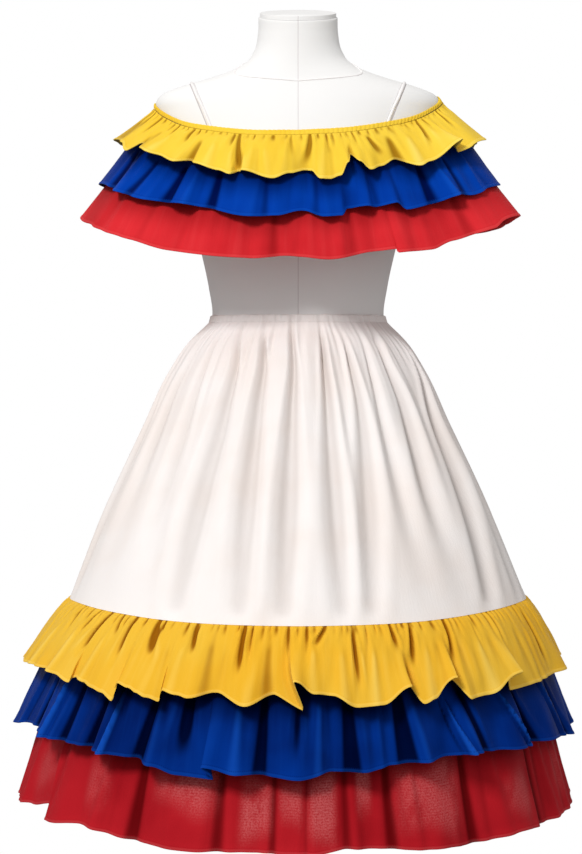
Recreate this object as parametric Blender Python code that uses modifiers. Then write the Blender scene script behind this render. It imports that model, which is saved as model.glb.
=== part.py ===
"""Two-piece ruffled dress on a dress form: an off-the-shoulder top of three layered
ruffles, and a gathered A-line skirt with three layered ruffles at its hem.

Metres, +Z up. The front of the dress faces -Y. The origin is the centre of the stand's
underside, on the floor. A turn is an angle round the body in degrees: 0 at the centre
front, 90 at the +X side seam, 180 at the centre back.

Each cloth piece is a closed wall of even thickness about a middle surface. A ruffle's
middle surface starts at its seam ring and goes out and down from it, and its waves come
from a short table of folds. The back of each piece repeats the front's folds, turned half
way round.
"""

import math
from collections import namedtuple

import bmesh
import bpy
import numpy as np

SEAM_GAP = 0.0003
CLOTH = 0.0015
CASING_CLOTH = 0.0022
LAYER_GAP = 0.0005

# Heights above the floor
WAIST_TOP = 1.040
WAIST_CASING_HEIGHT = 0.010
NECK_CASING_HEIGHT = 0.0075
CASING_FOOT_OUT = 0.006
NECK_TOP = 1.470
NECK_SLANT = 0.014

# The stand
BASE_RADIUS = 0.170
BASE_EDGE = 0.008
BASE_HEIGHT = 0.022
POLE_RADIUS = 0.016
COLLAR_RADIUS = 0.028
COLLAR_HEIGHT = 0.040
CAP_THICKNESS = 0.006
CAP_SHARE = 0.965

# The dress form's level sections: half its width, and its depth before and behind the
# middle plane
BodySection = namedtuple("BodySection", "height half_width front back")
BODY = [
    BodySection(0.800, 0.150, 0.106, 0.106),
    BodySection(0.820, 0.166, 0.115, 0.118),
    BodySection(0.860, 0.172, 0.118, 0.123),
    BodySection(0.905, 0.166, 0.113, 0.118),
    BodySection(0.955, 0.150, 0.103, 0.104),
    BodySection(1.000, 0.132, 0.092, 0.088),
    BodySection(1.030, 0.1250, 0.0870, 0.0815),
    BodySection(1.040, 0.1240, 0.0865, 0.0805),
    BodySection(1.080, 0.129, 0.090, 0.084),
    BodySection(1.140, 0.142, 0.104, 0.094),
    BodySection(1.195, 0.155, 0.121, 0.103),
    BodySection(1.240, 0.166, 0.127, 0.109),
    BodySection(1.275, 0.179, 0.119, 0.112),
    BodySection(1.305, 0.192, 0.106, 0.111),
    BodySection(1.330, 0.2015, 0.094, 0.106),
    BodySection(1.348, 0.2045, 0.084, 0.098),
    BodySection(1.359, 0.196, 0.077, 0.091),
    BodySection(1.369, 0.171, 0.071, 0.084),
    BodySection(1.380, 0.133, 0.066, 0.077),
    BodySection(1.391, 0.100, 0.062, 0.070),
    BodySection(1.403, 0.077, 0.059, 0.064),
    BodySection(1.420, 0.064, 0.056, 0.059),
    BodySection(1.445, 0.058, 0.054, 0.055),
    BodySection(1.470, 0.057, 0.053, 0.053),
]
BODY_COLUMNS = 36
SHOULDER_START = 1.325
SHOULDER_END = 1.400
TURNED_STEPS = 32

# The height of a seam round the body, the same on both sides
Level = namedtuple("Level", "turn height")
NECKLINE = [
    Level(0, 1.2877),
    Level(20, 1.2905),
    Level(40, 1.3000),
    Level(55, 1.3100),
    Level(72, 1.3280),
    Level(90, 1.3440),
    Level(108, 1.3390),
    Level(140, 1.3210),
    Level(180, 1.3130),
]
# The seam at the foot of the cream panel, which carries the skirt's ruffles
RUFFLE_SEAM = [
    Level(0, 0.6300),
    Level(30, 0.6312),
    Level(50, 0.6350),
    Level(68, 0.6370),
    Level(90, 0.6340),
    Level(112, 0.6370),
    Level(130, 0.6350),
    Level(150, 0.6312),
    Level(180, 0.6300),
]

# The skirt's cream panel: its middle surface's half width and half depth at each height,
# and how far its folds swing in and out there
PanelSection = namedtuple("PanelSection", "drop half_width half_depth swing")
PANEL = [
    PanelSection(0.000, 0.1290, 0.0905, 0.0000),
    PanelSection(0.028, 0.1560, 0.1170, 0.0030),
    PanelSection(0.070, 0.1830, 0.1460, 0.0060),
    PanelSection(0.150, 0.2205, 0.1905, 0.0075),
    PanelSection(0.275, 0.2785, 0.2590, 0.0070),
    PanelSection(0.3997, 0.3290, 0.3170, 0.0000),
]

# Folds, by their turn at the hem. reach is +1 at a full crest and -1 at a full trough,
# and lean is how many degrees a crest tips over its neighbour
Fold = namedtuple("Fold", "turn reach lean")
PANEL_FOLDS = [
    Fold(-82, 0.4, 0), Fold(-75, -0.5, 0), Fold(-67, 0.4, 0), Fold(-60, -0.4, 0),
    Fold(-51, 0.5, 0), Fold(-42, -0.6, 0), Fold(-34, 0.5, 0), Fold(-27, -0.6, 0),
    Fold(-20, 0.6, 0), Fold(-13, -0.7, 0), Fold(-8, 0.5, 0), Fold(-3, -0.6, 0),
    Fold(3.5, 0.7, 0), Fold(10, -0.7, 0), Fold(13.5, 0.4, 0), Fold(17, -0.6, 0),
    Fold(25, 0.7, 0), Fold(32, -0.8, 0), Fold(40, 0.6, 0), Fold(48, -1.0, 0),
    Fold(55, 0.5, 0), Fold(62, -0.5, 0), Fold(70, 0.5, 0), Fold(78, -0.5, 0),
]
SKIRT_YELLOW_FOLDS = [
    Fold(-83, 0.8, 0), Fold(-69, -0.6, 0), Fold(-54.5, 0.7, 1.6), Fold(-51.5, -0.6, 1.6),
    Fold(-39, 0.9, 1.4), Fold(-35.8, -0.9, 1.4), Fold(-28.3, 0.9, 1.2), Fold(-25.3, -0.5, 1.2),
    Fold(-20.5, 0.3, 0), Fold(-15.5, -0.5, 0), Fold(-9, 1.0, 0), Fold(-3.5, -0.3, 0),
    Fold(0.2, 0.9, 0.8), Fold(3.2, -1.3, 0.8), Fold(13.3, 0.8, 0), Fold(22, -1.1, -0.6),
    Fold(25.5, 0.7, -0.6), Fold(32.8, -1.2, 0), Fold(37, 0.7, 0), Fold(42, 0.3, 1.6),
    Fold(47.2, 0.9, 1.8), Fold(50.6, -0.9, 1.8), Fold(58, 0.5, 0.6), Fold(65, -0.3, 0),
    Fold(74, 0.6, 0), Fold(84, -0.6, 0),
]
SKIRT_BLUE_FOLDS = [
    Fold(-84, 0.7, 0), Fold(-70, -0.6, 0), Fold(-56, 0.7, 0), Fold(-47, -0.5, 0),
    Fold(-39, 0.6, 0), Fold(-33.5, -0.6, 0), Fold(-28, 0.6, 0), Fold(-23.5, -0.3, 0),
    Fold(-18.2, 1.0, 1.4), Fold(-15, -0.8, 1.4), Fold(-9, 0.6, 0), Fold(-4, -0.5, 0),
    Fold(2, 0.8, 0), Fold(8, -0.5, 0), Fold(13.5, 0.5, 0), Fold(19.5, -0.7, 0),
    Fold(25, 0.6, 0), Fold(31, -0.7, 0), Fold(37.5, 0.7, 0), Fold(43, -0.5, 0),
    Fold(49, 0.7, 0), Fold(56, -0.6, 0), Fold(64, 0.5, 0), Fold(72, -0.4, 0),
    Fold(81, 0.7, 0),
]
SKIRT_RED_FOLDS = [
    Fold(-80, 0.8, 0), Fold(-62, -0.7, 0), Fold(-46, 0.6, 0), Fold(-34, -0.6, 0),
    Fold(-22, 0.9, 0), Fold(-10, -0.5, 0), Fold(3, 0.6, 0), Fold(14, -0.7, 0),
    Fold(28, 0.9, 0), Fold(39, -0.5, 0), Fold(50, 0.7, 0), Fold(62, -0.6, 0),
    Fold(77, 0.8, 0),
]
TOP_YELLOW_FOLDS = [
    Fold(-82, -0.3, 0), Fold(-70.5, 0.7, 0.8), Fold(-66, -0.7, 0.8), Fold(-47, 0.6, 0),
    Fold(-41, -0.5, 0), Fold(-25.5, 0.9, 0.6), Fold(-22, -0.5, 0.6), Fold(-10, 0.9, 0),
    Fold(2, -0.7, 0), Fold(9.5, 0.9, 0), Fold(19.8, -1.3, -0.4), Fold(25.5, 0.8, -0.4),
    Fold(35, -0.8, 0), Fold(45.5, 0.8, 0), Fold(57, -0.3, 0), Fold(63.5, 0.9, 1.0),
    Fold(68, -0.3, 0), Fold(76, 0.4, 0),
]
TOP_BLUE_FOLDS = [
    Fold(-80, -0.5, 0), Fold(-62, 0.7, 0), Fold(-50, -0.4, 0), Fold(-41, 0.6, 0),
    Fold(-34, -0.6, 0), Fold(-17, 0.9, 0), Fold(1, -0.7, 0), Fold(9, 0.8, 0),
    Fold(17.5, -0.9, 0), Fold(22.5, 0.2, 0), Fold(27.5, -0.7, 0), Fold(32.5, 0.7, 0),
    Fold(49, -0.6, 0), Fold(58, 0.6, 0), Fold(78, -0.6, 0),
]
TOP_RED_FOLDS = [
    Fold(-78, -0.5, 0), Fold(-58, 0.6, 0), Fold(-45, -0.5, 0), Fold(-29, 0.8, 0),
    Fold(-4, -0.5, 0), Fold(10, 0.8, 0), Fold(25, -0.7, 0), Fold(32, 0.8, 0),
    Fold(54, -0.6, 0), Fold(68, 0.5, 0),
]

# A ruffle's hem, measured from its seam ring. out and drop are given at the sides, the
# front and the back, swing is the hem's wave, lift is how much higher its troughs end,
# and depth counts the layers that cover it at the seam. flare bends the way down: below 1
# it goes out first, above 1 it falls first
Ruffle = namedtuple(
    "Ruffle",
    "name folds side_out side_drop front_out front_drop back_out back_drop"
    " swing lift flare depth rows colour",
)
YELLOW = (0.93, 0.55, 0.045)
BLUE = (0.003, 0.045, 0.33)
RED = (0.62, 0.022, 0.030)
CREAM = (0.86, 0.79, 0.72)
COVER = (0.80, 0.77, 0.74)
STEEL = (0.60, 0.60, 0.61)

SKIRT_RUFFLES = [
    Ruffle("skirt_ruffle_red", SKIRT_RED_FOLDS, 0.065, 0.291, 0.061, 0.288, 0.061, 0.288,
           0.0130, 0.010, 1.20, 2, 5, RED),
    Ruffle("skirt_ruffle_blue", SKIRT_BLUE_FOLDS, 0.068, 0.179, 0.064, 0.177, 0.064, 0.177,
           0.0120, 0.011, 1.00, 1, 4, BLUE),
    Ruffle("skirt_ruffle_yellow", SKIRT_YELLOW_FOLDS, 0.055, 0.091, 0.050, 0.088, 0.050, 0.088,
           0.0150, 0.016, 0.75, 0, 4, YELLOW),
]
TOP_RUFFLES = [
    Ruffle("top_ruffle_red", TOP_RED_FOLDS, 0.112, 0.175, 0.070, 0.177, 0.062, 0.170,
           0.0110, 0.006, 1.10, 2, 4, RED),
    Ruffle("top_ruffle_blue", TOP_BLUE_FOLDS, 0.088, 0.117, 0.055, 0.118, 0.050, 0.112,
           0.0105, 0.008, 0.92, 1, 4, BLUE),
    Ruffle("top_ruffle_yellow", TOP_YELLOW_FOLDS, 0.064, 0.058, 0.039, 0.058, 0.035, 0.053,
           0.0110, 0.012, 0.70, 0, 4, YELLOW),
]

# A wave grows from its seam by this power of the share of the way down
WAVE_GROWTH = 1.4
# How the layers are kept apart: by this much, eased, from this share of the way down on
LAYER_CLEARANCE = 0.0060
SOFTNESS = 0.0030
CLEAR_BY_SHARE = 0.25
# The skirt's ruffles hang a little to the wearer's right
SKIRT_SWAY = -0.005

# Columns round a piece, in degrees, and the least cosine of half a bend that is thickened
WIDEST_COLUMN = 5.5
NARROW_STEP = 1.5
SHARPEST_CORNER = 0.7

CASING_RIPPLES = 24
COLUMNS_A_RIPPLE = 3
RIPPLE = 0.0008

CLOTH_ROUGHNESS = 0.6
COVER_ROUGHNESS = 0.8
STEEL_ROUGHNESS = 0.25
SHARP_EDGE = math.radians(55)


def clear_scene():
    for old in list(bpy.data.objects):
        bpy.data.objects.remove(old, do_unlink=True)


def make_collection(name):
    made = bpy.data.collections.new(name)
    bpy.context.scene.collection.children.link(made)
    return made


def make_material(name, colour, roughness, metallic=0.0):
    material = bpy.data.materials.new(name)
    material.use_nodes = True
    shader = material.node_tree.nodes["Principled BSDF"]
    shader.inputs["Base Color"].default_value = (*colour, 1.0)
    shader.inputs["Roughness"].default_value = roughness
    shader.inputs["Metallic"].default_value = metallic
    material.diffuse_color = (*colour, 1.0)
    return material


def smooth_through(places, values, at):
    """A smooth curve through rows of values, without overshoot at the ends."""
    places = np.asarray(places, float)
    values = np.asarray(values, float)
    slopes = np.gradient(values, places)
    k = int(np.clip(np.searchsorted(places, at) - 1, 0, len(places) - 2))
    width = places[k + 1] - places[k]
    s = (at - places[k]) / width
    s = min(max(s, 0.0), 1.0)
    start = values[k] * (2 * s**3 - 3 * s**2 + 1) + slopes[k] * width * (s**3 - 2 * s**2 + s)
    end = values[k + 1] * (3 * s**2 - 2 * s**3) + slopes[k + 1] * width * (s**3 - s**2)
    return start + end


def body_size(height):
    """Half width, front depth and back depth of the form, smooth through its sections."""
    heights = [row.height for row in BODY]
    return (
        smooth_through(heights, [row.half_width for row in BODY], height),
        smooth_through(heights, [row.front for row in BODY], height),
        smooth_through(heights, [row.back for row in BODY], height),
    )


def body_heights():
    """The levels of the form's rings: its sections, and between those of the shoulders."""
    levels = [BODY[0].height]
    for low, high in zip(BODY, BODY[1:]):
        if SHOULDER_START < low.height < SHOULDER_END:
            levels.append((low.height + high.height) / 2)
        levels.append(high.height)
    return levels


def oval(turn, half_width, front, back, height):
    angle = math.radians(turn)
    depth = front if math.cos(angle) > 0 else back
    return np.array([half_width * math.sin(angle), -depth * math.cos(angle), height])


def outward(ring, turn):
    """The level direction straight out of a ring at one turn."""
    before = ring(turn - 0.5)
    after = ring(turn + 0.5)
    along = after - before
    away = np.array([along[1], -along[0], 0.0])
    return away / np.linalg.norm(away)


def level_at(levels, turn):
    folded = abs((turn + 180) % 360 - 180)
    return smooth_through([row.turn for row in levels], [row.height for row in levels], folded)


def neck_ring(turn, above=0.0):
    """The neckline seam where it lies on the form, or a level a little above it."""
    height = level_at(NECKLINE, turn) + above
    return oval(turn, *body_size(height), height)


def casing_foot(turn):
    """Where the outermost ruffle of the top leaves the foot of the neckline casing."""
    return neck_ring(turn) + outward(neck_ring, turn) * CASING_FOOT_OUT


def skirt_ring(turn):
    """The seam at the foot of the cream panel, which carries the skirt's ruffles."""
    last = PANEL[-1]
    height = level_at(RUFFLE_SEAM, turn)
    return oval(turn, last.half_width, last.half_depth, last.half_depth, height)


def whole_round(folds):
    """The folds of the front and the same ones half way round, in order."""
    back = [Fold(row.turn + 180, row.reach, row.lean) for row in folds]
    return folds + back


def fold_at(folds, turn):
    """The reach and lean of the wave at one turn, eased from fold to fold."""
    rows = whole_round(folds)
    first = rows[0].turn
    turn = (turn - first) % 360 + first
    rows = rows + [Fold(first + 360, rows[0].reach, rows[0].lean)]
    for here, there in zip(rows, rows[1:]):
        if turn <= there.turn:
            share = (turn - here.turn) / (there.turn - here.turn)
            eased = 0.5 - 0.5 * math.cos(math.pi * share)
            reach = here.reach + (there.reach - here.reach) * eased
            lean = here.lean + (there.lean - here.lean) * share
            return reach, lean
    return rows[-1].reach, rows[-1].lean


def fold_columns(folds):
    """Turns of the columns from one side seam to the same one: the folds, and steps between."""
    marks = sorted({(row.turn + 90) % 360 - 90 for row in whole_round(folds)} | {-90, 90})
    marks.append(270)
    columns = []
    for here, there in zip(marks, marks[1:]):
        steps = max(2, math.ceil((there - here) / WIDEST_COLUMN))
        if there - here < NARROW_STEP:
            steps = 1
        columns += [here + (there - here) * k / steps for k in range(steps)]
    return columns


def even_columns(count):
    return [-90 + 360 * k / count for k in range(count)]


def around(side, front, back, turn):
    """A size that eases from its front or back value to its side value."""
    sideways = math.sin(math.radians(turn)) ** 2
    middle = front if math.cos(math.radians(turn)) > 0 else back
    return side * sideways + middle * (1 - sideways)


def ruffle_drop(ruffle, turn):
    return around(ruffle.side_drop, ruffle.front_drop, ruffle.back_drop, turn)


def ruffle_reach_out(ruffle, covers, turn, share):
    """How far a ruffle stands out from its seam ring, kept clear of the layer below it."""
    reach = fold_at(ruffle.folds, turn)[0]
    out = around(ruffle.side_out, ruffle.front_out, ruffle.back_out, turn) * share**ruffle.flare
    out += ruffle.swing * share**WAVE_GROWTH * reach
    if covers:
        drop = share * ruffle_drop(ruffle, turn)
        below = covers[-1]
        below_share = min(drop / ruffle_drop(below, turn), 1.0)
        least = ruffle_reach_out(below, covers[:-1], turn, below_share)
        grown = min(1.0, share / CLEAR_BY_SHARE)
        least += LAYER_CLEARANCE * grown
        out = 0.5 * (out + least + math.hypot(out - least, SOFTNESS * grown))
    return out


def ruffle_point(ruffle, covers, ring, turn, share):
    """A point of a ruffle's middle surface, from its seam at share 0 to its hem at 1."""
    reach, lean = fold_at(ruffle.folds, turn)
    out = ruffle_reach_out(ruffle, covers, turn, share)
    turned = turn + lean * reach * share**2
    start = ring(turned) - outward(ring, turned) * ruffle.depth * (CLOTH + LAYER_GAP)
    fall = share * ruffle_drop(ruffle, turn) - ruffle.lift * share**WAVE_GROWTH * (1 - reach) / 2
    return start + outward(ring, turned) * out - np.array([0, 0, fall])


def grid_normals(grid):
    """Unit normals, pointing out, of a grid whose columns go all the way round."""
    grid = np.asarray(grid)
    along = np.roll(grid, -1, axis=1) - np.roll(grid, 1, axis=1)
    down = np.gradient(grid, axis=0)
    normals = np.cross(down, along)
    return normals / np.linalg.norm(normals, axis=2, keepdims=True)


def corner_stretch(grid):
    """How much further to offset at each column so that a bent wall keeps its thickness."""
    grid = np.asarray(grid)
    before = grid - np.roll(grid, 1, axis=1)
    after = np.roll(grid, -1, axis=1) - grid
    before /= np.linalg.norm(before, axis=2, keepdims=True)
    after /= np.linalg.norm(after, axis=2, keepdims=True)
    half_turn_cosine = np.sqrt((1 + np.sum(before * after, axis=2)) / 2)
    return 1.0 / np.maximum(half_turn_cosine, SHARPEST_CORNER)


def wall_sides(grid, thickness):
    """The outer and inner points of a wall about a closed grid; its top edge stays level."""
    normals = grid_normals(grid)
    normals[0, :, 2] = 0
    normals[0] /= np.linalg.norm(normals[0], axis=1, keepdims=True)
    half = thickness / 2 * corner_stretch(grid)[..., None]
    return grid + normals * half, grid - normals * half


def strip_object(name, outer, inner, material, home):
    """A closed solid between two equal grids of points that run from end to end."""
    rows, columns = outer.shape[:2]
    mesh = bpy.data.meshes.new(name)
    shape = bmesh.new()
    out = [[shape.verts.new(outer[r][c]) for c in range(columns)] for r in range(rows)]
    back = [[shape.verts.new(inner[r][c]) for c in range(columns)] for r in range(rows)]
    for r in range(rows - 1):
        for c in range(columns - 1):
            shape.faces.new((out[r][c], out[r + 1][c], out[r + 1][c + 1], out[r][c + 1]))
            shape.faces.new((back[r][c], back[r][c + 1], back[r + 1][c + 1], back[r + 1][c]))
    for c in range(columns - 1):
        shape.faces.new((out[0][c], out[0][c + 1], back[0][c + 1], back[0][c]))
        shape.faces.new((out[-1][c], back[-1][c], back[-1][c + 1], out[-1][c + 1]))
    for r in range(rows - 1):
        shape.faces.new((out[r][0], back[r][0], back[r + 1][0], out[r + 1][0]))
        shape.faces.new((out[r][-1], out[r + 1][-1], back[r + 1][-1], back[r][-1]))
    bmesh.ops.recalc_face_normals(shape, faces=shape.faces)
    shape.to_mesh(mesh)
    shape.free()
    made = bpy.data.objects.new(name, mesh)
    mesh.materials.append(material)
    mesh.shade_smooth()
    mesh.set_sharp_from_angle(angle=SHARP_EDGE)
    home.objects.link(made)
    return made


def halves(name, columns, outer, inner, material, home):
    """The front and back pieces of a round of cloth, with a gap at each side seam."""
    seam = columns.index(90)
    front = list(range(0, seam + 1))
    back = list(range(seam, len(columns))) + [0]
    for part, picked, way in (("front", front, -1), ("back", back, 1)):
        sides = [outer[:, picked].copy(), inner[:, picked].copy()]
        for side in sides:
            side[:, [0, -1], 1] += way * SEAM_GAP / 2
        strip_object(f"{name}_{part}", *sides, material, home)


def make_ruffles(ruffles, ring, sway, home):
    """The layers that hang from one seam, given from the innermost out."""
    for place, ruffle in enumerate(ruffles):
        material = make_material(ruffle.name, ruffle.colour, CLOTH_ROUGHNESS)
        columns = fold_columns(ruffle.folds)
        shares = [r / (ruffle.rows - 1) for r in range(ruffle.rows)]
        grid = np.array([
            [ruffle_point(ruffle, ruffles[:place], ring, turn, share) for turn in columns]
            for share in shares
        ])
        grid[..., 0] += sway * np.array(shares)[:, None]
        grid[..., 2] -= SEAM_GAP
        outer, inner = wall_sides(grid, CLOTH)
        halves(ruffle.name, columns, outer, inner, material, home)


def make_panel(home):
    """The cream panel from the waist casing to the ruffles' seam."""
    columns = fold_columns(PANEL_FOLDS)
    top = WAIST_TOP - WAIST_CASING_HEIGHT - SEAM_GAP
    grid = np.zeros((len(PANEL), len(columns), 3))
    for r, row in enumerate(PANEL):
        for c, turn in enumerate(columns):
            reach = fold_at(PANEL_FOLDS, turn)[0]
            swing = row.swing * reach
            share = row.drop / PANEL[-1].drop
            height = top + (level_at(RUFFLE_SEAM, turn) - top) * share
            grid[r, c] = oval(
                turn, row.half_width + swing, row.half_depth + swing,
                row.half_depth + swing, height,
            )
    outer, inner = wall_sides(grid, CLOTH)
    outer[-1, :, 2] = grid[-1, :, 2]
    inner[-1, :, 2] = grid[-1, :, 2]
    material = make_material("skirt_panel", CREAM, CLOTH_ROUGHNESS)
    halves("skirt_panel", columns, outer, inner, material, home)


def make_casing(name, ring_at, levels, colour, home):
    """A gathered elastic casing, close round the form, with ripples on its outside."""
    columns = even_columns(CASING_RIPPLES * COLUMNS_A_RIPPLE)
    outer = np.zeros((len(levels), len(columns), 3))
    inner = np.zeros((len(levels), len(columns), 3))
    for r, above in enumerate(levels):
        for c, turn in enumerate(columns):
            def ring(t, level=above):
                return ring_at(t, level)
            away = outward(ring, turn)
            ripple = RIPPLE * math.cos(math.radians(turn) * CASING_RIPPLES)
            inner[r, c] = ring(turn) + away * LAYER_GAP
            outer[r, c] = ring(turn) + away * (LAYER_GAP + CASING_CLOTH + ripple)
    halves(name, columns, outer, inner, make_material(name, colour, CLOTH_ROUGHNESS), home)


def waist_level(turn, above):
    height = WAIST_TOP - WAIST_CASING_HEIGHT + above
    return oval(turn, *body_size(height), height)


def make_body(home):
    """The form's torso and neck: level ovals joined by straight walls, its neck cut aslant."""
    shape = bmesh.new()
    rings = []
    for height in body_heights():
        size = body_size(height)
        ring = []
        for k in range(BODY_COLUMNS):
            x, y, z = oval(360 * k / BODY_COLUMNS, *size, height)
            if height == NECK_TOP:
                z += NECK_SLANT * y / size[1]
            ring.append(shape.verts.new((x, y, z)))
        rings.append(ring)
    for low, high in zip(rings, rings[1:]):
        for k in range(BODY_COLUMNS):
            j = (k + 1) % BODY_COLUMNS
            shape.faces.new((low[k], low[j], high[j], high[k]))
    shape.faces.new(reversed(rings[0]))
    shape.faces.new(rings[-1])
    bmesh.ops.recalc_face_normals(shape, faces=shape.faces)
    mesh = bpy.data.meshes.new("form_body")
    shape.to_mesh(mesh)
    shape.free()
    body = bpy.data.objects.new("form_body", mesh)
    mesh.materials.append(make_material("form_body", COVER, COVER_ROUGHNESS))
    mesh.shade_smooth()
    mesh.set_sharp_from_angle(angle=SHARP_EDGE)
    home.objects.link(body)


def make_neck_cap(home):
    """The flat oval cap that closes the neck, parallel to its slanted cut."""
    last = BODY[-1]
    bpy.ops.mesh.primitive_cylinder_add(vertices=BODY_COLUMNS, radius=1.0, depth=CAP_THICKNESS)
    cap = bpy.context.object
    cap.name = "form_neck_cap"
    cap.data.name = "form_neck_cap"
    slope = NECK_SLANT / last.front
    for corner in cap.data.vertices:
        corner.co.x *= last.half_width * CAP_SHARE
        corner.co.y *= last.front * CAP_SHARE
        corner.co.z += NECK_TOP + CAP_THICKNESS / 2 + SEAM_GAP + slope * corner.co.y
    cap.data.materials.append(make_material("form_neck_cap", COVER, COVER_ROUGHNESS))
    move_to(cap, home)
    rounded = cap.modifiers.new("rounded", "BEVEL")
    rounded.width = 0.0015
    rounded.segments = 1
    rounded.limit_method = "ANGLE"


def move_to(item, home):
    for old in list(item.users_collection):
        old.objects.unlink(item)
    home.objects.link(item)


def turned_object(name, profile, material, home):
    """A solid turned about the Z axis from its half outline, given top to bottom."""
    mesh = bpy.data.meshes.new(name)
    corners = [(radius, 0, height) for radius, height in profile]
    mesh.from_pydata(corners, [(k, k + 1) for k in range(len(corners) - 1)], [])
    made = bpy.data.objects.new(name, mesh)
    home.objects.link(made)
    screw = made.modifiers.new("turned", "SCREW")
    screw.steps = TURNED_STEPS
    screw.render_steps = TURNED_STEPS
    screw.use_merge_vertices = True
    screw.merge_threshold = 0.00001
    screw.use_smooth_shade = False
    mesh.materials.append(material)
    return made


def make_stand(home):
    """A flat round base, a collar and a pole up to the underside of the form."""
    steel = make_material("stand_metal", STEEL, STEEL_ROUGHNESS, 1.0)
    shoulder = 0.35 * BASE_RADIUS
    turned_object("stand_base", [
        (0, BASE_HEIGHT),
        (shoulder, BASE_HEIGHT),
        (0.6 * BASE_RADIUS, 0.80 * BASE_HEIGHT),
        (0.9 * BASE_RADIUS, BASE_EDGE * 1.25),
        (BASE_RADIUS - 0.001, BASE_EDGE),
        (BASE_RADIUS, BASE_EDGE - 0.001),
        (BASE_RADIUS, 0.001),
        (BASE_RADIUS - 0.001, 0),
        (0, 0),
    ], steel, home)
    foot = BASE_HEIGHT + SEAM_GAP
    turned_object("stand_pole", [
        (0, BODY[0].height - SEAM_GAP),
        (POLE_RADIUS, BODY[0].height - SEAM_GAP),
        (POLE_RADIUS, foot + COLLAR_HEIGHT),
        (COLLAR_RADIUS * 0.8, foot + COLLAR_HEIGHT),
        (COLLAR_RADIUS, foot + COLLAR_HEIGHT * 0.9),
        (COLLAR_RADIUS, foot),
        (0, foot),
    ], steel, home)


def main():
    clear_scene()
    home = make_collection("ruffled_dress_on_form")
    make_stand(home)
    make_body(home)
    make_neck_cap(home)
    make_panel(home)
    make_casing("skirt_waist_casing", waist_level, (WAIST_CASING_HEIGHT, 0.0), CREAM, home)
    make_ruffles(SKIRT_RUFFLES, skirt_ring, SKIRT_SWAY, home)
    neck_levels = (NECK_CASING_HEIGHT, NECK_CASING_HEIGHT / 2, 0.0)
    make_casing("top_neck_casing", neck_ring, neck_levels, YELLOW, home)
    make_ruffles(TOP_RUFFLES, casing_foot, 0.0, home)


main()
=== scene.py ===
"""The looks of a two-piece ruffled dress on a dress form: an off-the-shoulder top of three
layered ruffles, and a gathered skirt with three layered ruffles at its hem.

Metres, +Z up. The front of the dress faces -Y. A turn is an angle round the body in
degrees: 0 at the centre front, 90 at the +X side seam, 180 at the centre back. A share is
how far down a ruffle a point is, from 0 at its seam to 1 at its hem.
"""

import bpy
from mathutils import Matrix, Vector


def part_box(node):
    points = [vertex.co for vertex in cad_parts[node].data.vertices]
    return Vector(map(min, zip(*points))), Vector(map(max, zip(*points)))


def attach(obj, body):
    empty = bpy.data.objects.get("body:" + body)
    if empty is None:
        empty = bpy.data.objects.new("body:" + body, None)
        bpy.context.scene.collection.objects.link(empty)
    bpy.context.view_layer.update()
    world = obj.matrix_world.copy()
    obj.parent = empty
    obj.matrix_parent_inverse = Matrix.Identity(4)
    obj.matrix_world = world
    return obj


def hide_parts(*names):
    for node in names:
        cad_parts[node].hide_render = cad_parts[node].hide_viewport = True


bl_info = {
    "name": "Ruffled dress on a form",
    "version": (1, 0, 0),
    "blender": (4, 5, 0),
    "location": "View3D > Sidebar > Dress",
    "description": "Makes a ruffled two-piece dress, its dress form and a studio stage",
    "category": "Object",
}

import math
from collections import namedtuple

import bpy
import numpy as np
from mathutils import Vector

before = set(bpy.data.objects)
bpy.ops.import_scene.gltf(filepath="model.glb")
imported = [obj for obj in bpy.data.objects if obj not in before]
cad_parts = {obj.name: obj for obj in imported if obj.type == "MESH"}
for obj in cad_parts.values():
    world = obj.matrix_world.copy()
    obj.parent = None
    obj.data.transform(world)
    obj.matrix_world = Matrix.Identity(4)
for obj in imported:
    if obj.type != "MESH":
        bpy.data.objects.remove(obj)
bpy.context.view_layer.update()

# Heights and places that the solids share
SEAM_GAP = 0.0003
LAYER_OFFSET = 0.0020
WAIST_TOP = 1.040
WAIST_CASING_HEIGHT = 0.010
NECK_CASING_HEIGHT = 0.0075
CASING_FOOT_OUT = 0.006
NECK_TOP = 1.470
NECK_SLANT = 0.014
NECK_SLANT_START = 1.425
CAP_THICKNESS = 0.006
CAP_SHARE = 0.965
SKIRT_SWAY = -0.005

BodySection = namedtuple("BodySection", "height half_width front back")
BODY = [
    BodySection(0.800, 0.150, 0.106, 0.106),
    BodySection(0.820, 0.166, 0.115, 0.118),
    BodySection(0.860, 0.172, 0.118, 0.123),
    BodySection(0.905, 0.166, 0.113, 0.118),
    BodySection(0.955, 0.150, 0.103, 0.104),
    BodySection(1.000, 0.132, 0.092, 0.088),
    BodySection(1.030, 0.1250, 0.0870, 0.0815),
    BodySection(1.040, 0.1240, 0.0865, 0.0805),
    BodySection(1.080, 0.129, 0.090, 0.084),
    BodySection(1.140, 0.142, 0.104, 0.094),
    BodySection(1.195, 0.155, 0.121, 0.103),
    BodySection(1.240, 0.166, 0.127, 0.109),
    BodySection(1.275, 0.179, 0.119, 0.112),
    BodySection(1.305, 0.192, 0.106, 0.111),
    BodySection(1.330, 0.2015, 0.094, 0.106),
    BodySection(1.348, 0.2045, 0.084, 0.098),
    BodySection(1.359, 0.196, 0.077, 0.091),
    BodySection(1.369, 0.171, 0.071, 0.084),
    BodySection(1.380, 0.133, 0.066, 0.077),
    BodySection(1.391, 0.100, 0.062, 0.070),
    BodySection(1.403, 0.077, 0.059, 0.064),
    BodySection(1.420, 0.064, 0.056, 0.059),
    BodySection(1.445, 0.058, 0.054, 0.055),
    BodySection(1.470, 0.057, 0.053, 0.053),
]

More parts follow.
